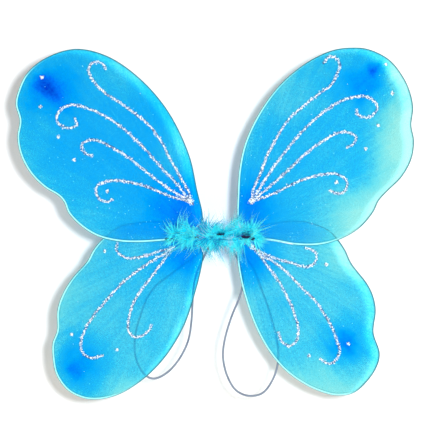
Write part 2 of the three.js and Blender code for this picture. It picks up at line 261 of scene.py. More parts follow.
LOWER_RIGHT = WingPlan(
    name="lower_right",
    side=Side.RIGHT,
    plane_y=-7.4,
    frame=(
        (34, 6), (50, 11), (74, 16), (94, 16), (110, 12), (123, 6), (132, -3), (141, -16),
        (148, -31), (166, -54.5), (172.5, -68), (175.5, -84), (173, -109), (180, -133), (177, -147),
        (166, -164), (151, -177), (133, -180), (118, -177), (97, -168), (73, -150.5), (53.5, -126),
        (39.5, -99), (30, -72), (24, -49), (20.5, -24), (21.5, -13), (24.5, -5),
    ),
    scroll_root=(37, -12),
    scrolls=(
        ((48, -19), (65, -26), (83, -31), (98, -35), (107, -31), (110, -22), (105, -16), (96, -13)),
        ((44, -19), (62, -30), (79, -44), (94, -60), (109, -74), (119, -89), (127, -103),
         (133, -119), (136, -130), (132, -140), (124, -145), (113, -139)),
        ((46, -23), (57, -38), (68, -53), (77, -70), (85, -89), (89, -105), (87, -119),
         (79, -125), (71, -121), (66, -109)),
    ),
    dots=((121, -32), (146, -122), (101, -136)),
    dye=0.34,
    dye_and_light_washes=(
        Wash(141, -125, 24, 26, 0.20),
        Wash(142, -120, 46, 50, 0.24),
        Wash(28, -26, 56, 50, 0.36),
        # these two are painted light: the lit wall seen through the nylon's right and lower edges
        Wash(146, -18, 50, 38, -0.26),
        Wash(120, -168, 84, 50, -0.18),
    ),
)

WING_PLANS = (UPPER_LEFT, UPPER_RIGHT, LOWER_LEFT, LOWER_RIGHT)

ELASTIC_ROUTES: dict[Side, Route] = {
    Side.LEFT: (
        (-14.6, -11.7), (-24, -20), (-36, -29), (-48, -38), (-60, -47), (-72, -56), (-82, -69),
        (-89, -86), (-96, -111), (-97, -133), (-93, -147), (-85, -159), (-75, -163), (-61, -157),
        (-47, -142), (-36, -120), (-32, -95), (-31, -77), (-30, -60), (-26, -42), (-19, -26),
        (-11.4, -11.7),
    ),
    Side.RIGHT: (
        (14.6, -11.7), (22, -17), (31, -27), (40, -42), (46, -58), (54, -80), (60, -100),
        (65, -120), (66, -144), (60, -164), (48, -180), (32, -183), (18, -177), (8, -161),
        (3, -139), (5, -119), (13, -92), (22, -70), (26, -52), (23, -34), (17, -21),
        (11.4, -11.7),
    ),
}


# ---------------------------------------------------------------- shared shaping


def srgb(red: int, green: int, blue: int) -> Colour:
    """Linear colour of a display colour given from 0 to 255."""
    shares = (channel / 255 for channel in (red, green, blue))
    return (*(s / 12.92 if s <= 0.04045 else ((s + 0.055) / 1.055) ** 2.4 for s in shares), 1.0)


def smooth_path(points: Sequence[Vector], steps: int) -> list[Vector]:
    """Run a centripetal Catmull-Rom curve through points.

    Args:
        points: Points that the curve passes through.
        steps: Pieces that each span between two points is cut into.

    Returns:
        Points along the curve, both ends included.
    """
    ends = [2 * points[0] - points[1], *points, 2 * points[-1] - points[-2]]
    curve = []
    for before, start, end, after in zip(ends, ends[1:], ends[2:], ends[3:]):
        gap_before = math.sqrt((start - before).length)
        gap = math.sqrt((end - start).length)
        gap_after = math.sqrt((after - end).length)
        leave = (start - before) / gap_before - (end - before) / (gap_before + gap)
        leave = (leave + (end - start) / gap) * gap
        arrive = (end - start) / gap - (after - start) / (gap + gap_after)
        arrive = (arrive + (after - end) / gap_after) * gap
        for step in range(steps):
            t = step / steps
            bend = 3 * (end - start) - 2 * leave - arrive
            twist = 2 * (start - end) + leave + arrive
            curve.append(start + leave * t + bend * t**2 + twist * t**3)
    curve.append(points[-1].copy())
    return curve


def front_path(route: Sequence[Point], depth: float, steps: int) -> list[Vector]:
    """Smooth a front-view route at one depth y, each span cut into steps pieces."""
    return smooth_path([Vector((x, depth, z)) for x, z in route], steps)


def polygon_area(points: Sequence[Vector]) -> float:
    """Area of a closed front-view outline."""
    pairs = zip(points, [*points[1:], points[0]])
    return abs(sum(a.x * b.z - b.x * a.z for a, b in pairs)) / 2


def fall(distance: float, reach: float) -> float:
    """Bell-shaped fading from 1 at nothing to about 0 past twice the reach."""
    return math.exp(-((distance / reach) ** 2))


def sweep_tube(
    bm: BMesh,
    path: Sequence[Vector],
    width: float,
    depth: float,
    sides: int,
    sizes: Sequence[float] = (),
) -> None:
    """Sweep an oval ring along a path and cap both its ends.

    The float layers along, turn_cos and turn_sin say where a point lies on the tube.

    Args:
        bm: Mesh that the tube is added to.
        path: Points that the tube's middle follows.
        width: Size across the path, square to the front view's depth.
        depth: Size along the front view's depth.
        sides: Sides of the ring.
        sizes: The ring's size at each point, as a share of the full one, or empty for full.
    """
    along, turn_cos, turn_sin = tube_layers(bm)
    last = len(path) - 1
    tangents = [
        (path[min(k + 1, last)] - path[max(k - 1, 0)]).normalized() for k in range(last + 1)
    ]
    across = tangents[0].cross(FRONT)
    if across.length < 0.1:
        across = Vector((1, 0, 0))
    across.normalize()
    turn = Matrix((across, tangents[0].cross(across), tangents[0])).transposed()
    ring = bmesh.ops.create_circle(bm, segments=sides, radius=0.5)["verts"]
    for vertex in ring:
        vertex[turn_cos], vertex[turn_sin] = vertex.co.x * 2, vertex.co.y * 2
    edges = list({edge for vertex in ring for edge in vertex.link_edges})
    first_edges = edges
    pose = Matrix.Identity(4)
    travelled = 0.0
    for k, point in enumerate(path):
        if k:
            grown = bmesh.ops.extrude_edge_only(bm, edges=edges)["geom"]
            ring = [item for item in grown if isinstance(item, bmesh.types.BMVert)]
            edges = [edge for edge in grown if isinstance(edge, bmesh.types.BMEdge)]
            edges = [edge for edge in edges if all(end in set(ring) for end in edge.verts)]
            turn = tangents[k - 1].rotation_difference(tangents[k]).to_matrix() @ turn
            travelled += (point - path[k - 1]).length
        size = sizes[k] if sizes else 1.0
        shape = Matrix.Diagonal((width * size, depth * size, 1, 1))
        target = Matrix.Translation(point) @ turn.to_4x4() @ shape
        bmesh.ops.transform(bm, matrix=target @ pose.inverted(), verts=ring)
        pose = target
        for vertex in ring:
            vertex[along] = travelled
    for rim in (first_edges, edges):
        bmesh.ops.contextual_create(bm, geom=rim)


def tube_layers(bm: BMesh) -> list[Layer]:
    """Float layers that say where a point lies on a swept tube."""
    layers = bm.verts.layers.float
    return [layers.get(name) or layers.new(name) for name in ("along", "turn_cos", "turn_sin")]


def map_grid(
    bm: BMesh, columns: int, rows: int, place: Callable[[int, int], Vector]
) -> list[list[bmesh.types.BMVert]]:
    """Lay a flat grid over a shape.

    Args:
        bm: Mesh that the grid is added to.
        columns: Strips that the grid is cut into one way.
        rows: Strips the other way.
        place: Where the point at a column and a row line goes.

    Returns:
        The points, by column line and then by row line.
    """
    grid = bmesh.ops.create_grid(bm, x_segments=columns, y_segments=rows, size=0.5)["verts"]
    lines = [[None] * (rows + 1) for _ in range(columns + 1)]
    for vertex in grid:
        column = round((vertex.co.x + 0.5) * columns)
        row = round((vertex.co.y + 0.5) * rows)
        lines[column][row] = vertex
        vertex.co = place(column, row)
    return lines


def copy_many(bm: BMesh, count: int) -> list[list[bmesh.types.BMVert]]:
    """Copy everything in a mesh until it is there count times.

    Args:
        bm: Mesh that holds one small shape.
        count: Number of shapes wanted.

    Returns:
        Each copy's points, in the shape's own order.
    """
    order = bm.verts.layers.int.new("order")
    for number, vertex in enumerate(bm.verts):
        vertex[order] = number
    made = 1
    while made < count:
        bmesh.ops.duplicate(bm, geom=bm.verts[:] + bm.edges[:] + bm.faces[:])
        made *= 2
    copies, seen = [], set()
    for vertex in bm.verts:
        if vertex in seen:
            continue
        seen.add(vertex)
        copy = [vertex]
        for known in copy:
            fresh = [e.other_vert(known) for e in known.link_edges if e.other_vert(known) not in seen]
            seen.update(fresh)
            copy += fresh
        copies.append(sorted(copy, key=lambda point: point[order]))
    surplus = [vertex for copy in copies[count:] for vertex in copy]
    bmesh.ops.delete(bm, geom=surplus, context="VERTS")
    return copies[:count]


def make_piece(
    name: str, bm: BMesh, place: Matrix, material: Material, slot: Slot
) -> Piece:
    """Turn a mesh drawn in millimetres into a finished piece.

    Args:
        name: Name of the piece.
        bm: Its mesh, which is freed.
        place: Takes the mesh to its place in metres.
        material: Its finish.
        slot: Not used.

    Returns:
        The piece, at the origin with its place in its mesh.
    """
    bmesh.ops.transform(bm, matrix=place, verts=bm.verts)
    bmesh.ops.recalc_face_normals(bm, faces=bm.faces)
    mesh = bpy.data.meshes.new(name)
    bm.to_mesh(mesh)
    bm.free()
    mesh.materials.append(material)
    mesh.shade_smooth()
    piece = bpy.data.objects.new(name, mesh)
    bpy.context.scene.collection.objects.link(piece)
    LOG.info("%s: %d faces", name, len(mesh.polygons))
    return piece


# ---------------------------------------------------------------- finishes


class NodeSheet:
    """One material's nodes, added and joined one by one."""

    def __init__(self, name: str) -> None:
        """Start an empty material.

        Args:
            name: Name of the material.
        """
        self.material = bpy.data.materials.new(name)
        self.material.use_nodes = True
        self.tree = self.material.node_tree
        self.tree.nodes.clear()
        self.place = self.add("ShaderNodeTexCoord").outputs["Object"]

    def add(self, kind: str, sockets: dict | None = None, **settings: str | bool) -> bpy.types.Node:
        """Add a node.

        Args:
            kind: Type of the node.
            sockets: Values or outputs for its inputs, by name or number.
            **settings: Properties of the node itself.

        Returns:
            The node.
        """
        node = self.tree.nodes.new(kind)
        for setting, value in settings.items():
            setattr(node, setting, value)
        for key, value in (sockets or {}).items():
            if isinstance(value, Socket):
                self.tree.links.new(value, node.inputs[key])
            else:
                node.inputs[key].default_value = value
        return node

    def math(self, operation: str, *values: Number, clamp: bool = False) -> Socket:
        """Work out one number from others, kept from 0 to 1 when clamp is set."""
        sockets = dict(enumerate(values))
        return self.add("ShaderNodeMath", sockets, operation=operation, use_clamp=clamp).outputs[0]

    def vector(self, operation: str, *values: Place) -> bpy.types.Node:
        """Work out one vector, or its length, from others."""
        return self.add("ShaderNodeVectorMath", dict(enumerate(values)), operation=operation)

    def attribute(self, name: str) -> Socket:
        """Read a number kept on the mesh's points."""
        return self.add("ShaderNodeAttribute", attribute_name=name).outputs["Fac"]

    def noise(self, size: float, detail: float = 2.0) -> Socket:
        """Cloudy variation from about 0.2 to 0.8, its clouds size millimetres wide."""
        sockets = {"Vector": self.place, "Scale": 1000 / size, "Detail": detail}
        return self.add("ShaderNodeTexNoise", sockets).outputs["Fac"]

    def spread(
        self, value: Number, low: float, high: float, start: float = 0.0, end: float = 1.0
    ) -> Socket:
        """Ease a number from low to high into one from start to end."""
        sockets = dict(enumerate((value, low, high, start, end)))
        return self.add("ShaderNodeMapRange", sockets, interpolation_type="SMOOTHSTEP").outputs[0]

    def ramp(self, value: Number, stops: Stops, steps: bool = False) -> Socket:
        """Colour for a number.

        Args:
            value: Output that holds the number.
            stops: Number and colour pairs, in rising order.
            steps: Keep each colour until the next stop, with no blending.

        Returns:
            The colour's output.
        """
        node = self.add("ShaderNodeValToRGB", {"Fac": value})
        node.color_ramp.interpolation = "CONSTANT" if steps else "LINEAR"
        elements = node.color_ramp.elements
        elements[0].position, elements[1].position = stops[0][0], stops[-1][0]
        elements[0].color, elements[1].color = stops[0][1], stops[-1][1]
        for position, colour in stops[1:-1]:
            elements.new(position).color = colour
        return node.outputs["Color"]

    def mix(self, share: Number, first: Tint, second: Tint) -> Socket:
        """Mix two colours, from all first at 0 to all second at 1."""
        sockets = {0: share, 6: first, 7: second}
        return self.add("ShaderNodeMix", sockets, data_type="RGBA").outputs[2]

    def bump(self, height: Number, depth: float, strength: float = 1.0) -> Socket:
        """Raise the surface by a height from 0 to 1, over a depth in millimetres."""
        sockets = {"Height": height, "Distance": depth / 1000, "Strength": strength}
        return self.add("ShaderNodeBump", sockets).outputs[0]

    def principled(self, **sockets: Number | Tint) -> Socket:
        """Add the main shader, its sockets named with _ for a space."""
        named = {name.replace("_", " "): value for name, value in sockets.items()}
        return self.add("ShaderNodeBsdfPrincipled", named).outputs[0]

    def blend(self, share: Number, first: Socket, second: Socket) -> Socket:
        """Mix two shaders, from all first at 0 to all second at 1."""
        return self.add("ShaderNodeMixShader", {0: share, 1: first, 2: second}).outputs[0]

    def clear(self, colour: Tint) -> Socket:
        """Let light through, tinted by a colour."""
        return self.add("ShaderNodeBsdfTransparent", {"Color": colour}).outputs[0]

    def finish(self, shader: Socket, shade: Colour | None = None) -> Material:
        """Join a shader to the output.

        Args:
            shader: Output of the surface's shader.
            shade: Tint of the light that comes through to what lies behind, or None for a solid.

        Returns:
            The finished material.
        """
        if shade:
            lamp = self.add("ShaderNodeLightPath").outputs["Is Shadow Ray"]
            shader = self.blend(lamp, shader, self.clear(shade))
        self.add("ShaderNodeOutputMaterial", {"Surface": shader})
        return self.material


@dataclass(frozen=True)
class NylonFinish:
    """Sheer stocking nylon, hand-dyed stronger in places, with a painted highlight and painted shade along
    the wire, and painted light in some washes.
    """

    tints: Stops = (
        (0.0, (0.70, 1.0, 1.0, 1)),
        (0.2, (0.48, 0.97, 1.0, 1)),
        (0.42, (0.16, 0.87, 1.0, 1)),
        (0.62, (0.02, 0.73, 1.0, 1)),
        (0.82, (0.01, 0.49, 0.99, 1)),
        (1.0, (0.0, 0.22, 0.87, 1)),
    )
    threads: Stops = (
        (0.0, (0.38, 1.0, 1.0, 1)),
        (0.2, (0.18, 0.80, 1.0, 1)),
        (0.42, (0.03, 0.54, 1.0, 1)),
        (0.62, (0.0, 0.41, 1.0, 1)),
        (0.82, (0.0, 0.20, 0.98, 1)),
        (1.0, (0.0, 0.06, 0.66, 1)),
    )
    # painted highlight over the wire, on edges that face the lamp
    painted_rim_highlight: Colour = (0.42, 0.98, 1.0, 1)
    # dark outline of the nylon's fold, also painted shade over the wire on edges that face away from the
    # lamp
    rim_outline_and_shade: Colour = (0.01, 0.16, 0.21, 1)
    shade: Colour = (0.36, 0.32, 0.25, 1)

    def dye(self, sheet: NodeSheet, plan: WingPlan, place: Socket) -> Socket:
        """Add up a wing's dye at each point, with the washes that are painted light.

        Args:
            sheet: Nodes of the material.
            plan: Wing whose stains are laid down.
            place: Output that holds the point, in millimetres.

        Returns:
            Strength of the dye, from 0 to 1.
        """
        total = plan.dye
        for wash in plan.dye_and_light_washes:
            size = (1 / wash.reach_x, 0, 1 / wash.reach_z)
            shift = (-wash.x / wash.reach_x, 0, -wash.z / wash.reach_z)
            away = sheet.vector("LENGTH", sheet.vector("MULTIPLY_ADD", place, size, shift).outputs[0])
            total = sheet.math("ADD", total, sheet.spread(away.outputs["Value"], 0, 1, wash.strength, 0))
        return total

    def streaks(self, sheet: NodeSheet, plan: WingPlan, place: Socket) -> Socket:
        """Fine lines that run out from the wing's root, where the nylon is pulled together.

        Args:
            sheet: Nodes of the material.
            plan: Wing that is covered.
            place: Output that holds the point, in millimetres.

        Returns:
            Noise from about 0.2 to 0.8, long along the pull and narrow across it.
        """
        hub = (-plan.side.value * HUB_X, 0, 0)
        from_hub = sheet.vector("ADD", place, hub).outputs[0]
        parts = sheet.add("ShaderNodeSeparateXYZ", {0: from_hub})
        angle = sheet.math("ARCTAN2", parts.outputs["Z"], parts.outputs["X"])
        away = sheet.math("MULTIPLY", sheet.vector("LENGTH", from_hub).outputs["Value"], 0.012)
        polar = sheet.add("ShaderNodeCombineXYZ", {0: sheet.math("MULTIPLY", angle, 34.0), 1: away})
        sockets = {"Vector": polar.outputs[0], "Scale": 1.0, "Detail": 3.0}
        return sheet.add("ShaderNodeTexNoise", sockets).outputs["Fac"]

    def rim_marks(self, sheet: NodeSheet, deep: Socket, lit: Socket) -> tuple[Socket, Socket]:
        """Find the painted highlight and the dark lines that run along the wire under the nylon's edge.

        Args:
            sheet: Nodes of the material.
            deep: Output that holds the distance in from the wire's middle line, in millimetres.
            lit: Output that holds 1 on edges that face the lamp, where the highlight is painted.

        Returns:
            Strengths of the painted highlight and of the dark lines, from 0 to 1; the dark lines are the
            fold's outline, painted shade on edges away from the lamp and a thin line inside the highlight.
        """
        # painted highlight: a pale line over the wire, only on edges that face the lamp
        light = sheet.math("MULTIPLY", sheet.spread(deep, -0.75, -0.45), sheet.spread(deep, 1.3, 0.8))
        light = sheet.math("MULTIPLY", light, lit)
        outline = sheet.spread(deep, -0.35, -0.75)
        # painted shade over the wire on edges that face away from the lamp
        painted_shade = sheet.math("MULTIPLY", sheet.spread(deep, 0.45, -0.15), sheet.math("SUBTRACT", 1.0, lit))
        # a thin dark line just inside the painted highlight
        inside = sheet.math("MULTIPLY", sheet.spread(deep, 1.1, 1.5), sheet.spread(deep, 2.7, 1.9))
        inside = sheet.math("MULTIPLY", inside, sheet.math("MULTIPLY", lit, 0.4))
        return light, sheet.math("MAXIMUM", sheet.math("MAXIMUM", outline, painted_shade), inside)

    def material(self, plan: WingPlan) -> Material:
        """Dye one wing's nylon.

        Args:
            plan: Wing that is covered.

        Returns:
            The finish of that wing's cover.
        """
        sheet = NodeSheet(f"dyed_nylon_{plan.name}")
        place = sheet.vector("SCALE", sheet.place)
        place.inputs["Scale"].default_value = 1000
        place = place.outputs[0]
        streaks = self.streaks(sheet, plan, place)
        swirl = sheet.add("ShaderNodeTexNoise", {"Vector": sheet.place, "Scale": 45, "Detail": 4})
        swirl = sheet.vector("SUBTRACT", swirl.outputs["Color"], (0.5, 0.5, 0.5)).outputs[0]
        bled = sheet.vector("MULTIPLY_ADD", swirl, (26, 0, 26), place).outputs[0]
        dye = self.dye(sheet, plan, bled)
        deep, lit = sheet.attribute("deep"), sheet.attribute("lit")
        for unevenness in (
            sheet.spread(streaks, 0.25, 0.75, -0.035, 0.035),
            sheet.spread(sheet.noise(2.4, 3), 0.3, 0.7, -0.04, 0.04),
            sheet.spread(sheet.noise(45), 0.3, 0.7, -0.035, 0.035),
            # paler within 13 mm of the wire: painted light from the lit wall seen through the margins
            sheet.spread(deep, 0.5, 13, -0.06, 0),
        ):
            dye = sheet.math("ADD", dye, unevenness)
        dye = sheet.math("ADD", dye, 0.0, clamp=True)
        tint = sheet.ramp(dye, self.tints)
        threads = sheet.ramp(dye, self.threads)
        light, dark = self.rim_marks(sheet, deep, lit)
        # paint the highlight and the shade along the wire into the threads
        threads = sheet.mix(light, threads, self.painted_rim_highlight)
        threads = sheet.mix(dark, threads, self.rim_outline_and_shade)
        knit = sheet.noise(0.7, 1)
        cover = sheet.spread(dye, 0.0, 1.0, 0.20, 0.46)
        cover = sheet.math("ADD", cover, sheet.spread(knit, 0.3, 0.7, -0.05, 0.05))
        # the nylon is less clear where the highlight and the shade are painted
        cover = sheet.math("MAXIMUM", cover, sheet.math("MULTIPLY", light, 0.8))
        cover = sheet.math("MAXIMUM", cover, sheet.math("MULTIPLY", dark, 0.96), clamp=True)
        wrinkle = sheet.math("MULTIPLY_ADD", streaks, 1.2, sheet.math("MULTIPLY", knit, 0.25))
        cloth = sheet.principled(
            Base_Color=threads, Roughness=0.45, Specular_IOR_Level=0.12, Sheen_Weight=0.08,
            Specular_Tint=(0.02, 0.6, 1.0, 1), Sheen_Tint=(0.02, 0.5, 1.0, 1),
            Sheen_Roughness=0.4, Normal=sheet.bump(wrinkle, 0.35, 0.6),
        )
        return sheet.finish(sheet.blend(cover, sheet.clear(tint), cloth), self.shade)


@dataclass(frozen=True)
class WovenFinish:
    """Thread, tape, elastic or bunched cloth: ribs that follow the surface, and patchy dye."""

    name: str
    dark: Colour
    light: Colour
    rib_size: float
    rib_depth: float
    roughness: float = 0.7
    sheen: float = 0.3
    specular: float = 0.3

    def material(self) -> Material:
        """Weave the finish, its ribs in two crossing directions.

        Returns:
            The material.
        """
        sheet = NodeSheet(self.name)
        scale = 1000 / self.rib_size
        turned = sheet.add("ShaderNodeMapping", {"Vector": sheet.place, "Rotation": (0.7, 0.6, 0.8)})
        ribs = [
            sheet.add(
                "ShaderNodeTexWave", {"Vector": vector, "Scale": scale / 6.3, "Distortion": 0.6}
            ).outputs["Fac"]
            for vector in (sheet.place, turned.outputs[0])
        ]
        height = sheet.math("MULTIPLY", ribs[0], ribs[1])
        patches = sheet.math("ADD", height, sheet.noise(6, 3))
        colour = sheet.ramp(sheet.spread(patches, 0.3, 1.5), ((0, self.dark), (1, self.light)))
        return sheet.finish(
            sheet.principled(
                Base_Color=colour, Roughness=self.roughness, Sheen_Weight=self.sheen,
                Specular_IOR_Level=self.specular, Normal=sheet.bump(height, self.rib_depth),
            )
        )


@dataclass(frozen=True)
class BraidFinish:
    """Round elastic in a braided sleeve, whose strands cross each other round the cord."""

    name: str = "grey_blue_elastic"
    dark: Colour = srgb(64, 84, 112)
    light: Colour = srgb(138, 152, 172)
    strands: float = 4.0
    pitch: float = 2.6

    def material(self) -> Material:
        """Braid the sleeve from the mesh's own along and round numbers.

        Returns:
            The material.
        """
        sheet = NodeSheet(self.name)
        round_it = sheet.math("ARCTAN2", sheet.attribute("turn_sin"), sheet.attribute("turn_cos"))
        round_it = sheet.math("MULTIPLY", round_it, self.strands)
        along = sheet.math("MULTIPLY", sheet.attribute("along"), 2 * math.pi / self.pitch)
        waves = [
            sheet.math("SINE", sheet.math(operation, along, round_it))
            for operation in ("ADD", "SUBTRACT")
        ]
        braid = sheet.spread(sheet.math("MAXIMUM", *waves), -0.6, 1.0)
        colour = sheet.ramp(
            sheet.math("ADD", braid, sheet.spread(sheet.noise(9), 0.3, 0.7, -0.2, 0.2)),
            ((0, self.dark), (1, self.light)),
        )
        return sheet.finish(
            sheet.principled(
                Base_Color=colour, Roughness=0.62, Sheen_Weight=0.25,
                Normal=sheet.bump(braid, 0.3),
            )
        )


@dataclass(frozen=True)
class HardFinish:
    """Wire coating, steel or set glue: smooth, with faint wear, lumps and smears."""

    name: str
    dark: Colour
    light: Colour
    roughness: float
    metallic: float = 0.0
    lump_size: float = 3.0
    lump_depth: float = 0.1
    see_through: float = 0.0

    def material(self) -> Material:
        """Cast the finish.

        Returns:
            The material.
        """
        sheet = NodeSheet(self.name)
        lumps = sheet.noise(self.lump_size, 4)
        colour = sheet.ramp(sheet.spread(lumps, 0.3, 0.7), ((0, self.dark), (1, self.light)))
        rough = sheet.spread(sheet.noise(1.3, 3), 0.3, 0.7, self.roughness * 0.7, self.roughness * 1.3)
        return sheet.finish(
            sheet.principled(
                Base_Color=colour, Roughness=rough, Metallic=self.metallic,
                Alpha=1 - self.see_through, Normal=sheet.bump(lumps, self.lump_depth),
            )
        )


@dataclass(frozen=True)
class FlakeFinish:
    """Glitter flakes, each with one of a few colours kept on its points as tone: foil colours, painted
    glints and painted dark reflections.
    """

    name: str
    foil_and_glint_tones: Stops

    def material(self) -> Material:
        """Foil the flakes.

        Returns:
            The material.
        """
        sheet = NodeSheet(self.name)
        foil = sheet.ramp(sheet.attribute("tone"), self.foil_and_glint_tones, steps=True)
        worn = sheet.mix(sheet.spread(sheet.noise(0.4), 0.3, 0.7, 0, 0.15), foil, (0.7, 0.82, 0.92, 1))
        return sheet.finish(
            sheet.principled(Base_Color=worn, Roughness=0.32, Metallic=0.2, Specular_IOR_Level=0.7)
        )


@dataclass(frozen=True)
class DownFinish:
    """Dyed marabou down, with painted shade darkening it next to the cord, bright at the quills and pale and
    airy at the tips.
    """

    name: str = "turquoise_down"
    stops: Stops = (
        # painted shade: the down is darkest next to the cord
        (0.0, (0.0, 0.40, 0.76, 1)),
        (0.22, (0.0, 0.74, 0.98, 1)),
        (0.55, (0.03, 0.92, 1.0, 1)),
        (1.0, (0.16, 0.92, 1.0, 1)),
    )
    bright: Colour = (0.14, 1.0, 1.0, 1)
    deep: Colour = (0.0, 0.20, 0.56, 1)
    pale: Colour = (0.58, 0.84, 1.0, 1)
    patch: Colour = (0.0, 0.62, 0.92, 1)
    shade: Colour = (0.40, 0.74, 0.84, 1)

    def material(self) -> Material:
        """Dye the down by its distance from the cord, darker next to it as painted shade, and by each barb's
        tone, which painted light raises where the lamp catches the down.

        Returns:
            The material.
        """
        sheet = NodeSheet(self.name)
        tip, tone = sheet.attribute("tip"), sheet.attribute("tone")
        colour = sheet.ramp(tip, self.stops)
        for share, other in (
            (sheet.spread(tone, 0.5, 0.95, 0.0, 0.85), self.bright),
            (sheet.spread(tone, 0.30, 0.02, 0.0, 0.8), self.deep),
            (sheet.spread(tone, 1.5, 1.8, 0.0, 0.9), self.pale),
            (sheet.spread(sheet.noise(3), 0.3, 0.7, 0.0, 0.18), self.patch),
        ):
            colour = sheet.mix(share, colour, other)
        barbs = sheet.principled(
            Base_Color=colour, Roughness=0.8, Sheen_Weight=0.1, Sheen_Roughness=0.5,
            Specular_IOR_Level=0.05, Alpha=sheet.spread(tip, 0.25, 1.0, 1.0, 0.3),
            Sheen_Tint=(0.2, 0.9, 1.0, 1), Normal=sheet.bump(sheet.noise(0.5), 0.1),
        )
        return sheet.finish(barbs, self.shade)


# ---------------------------------------------------------------- the wings


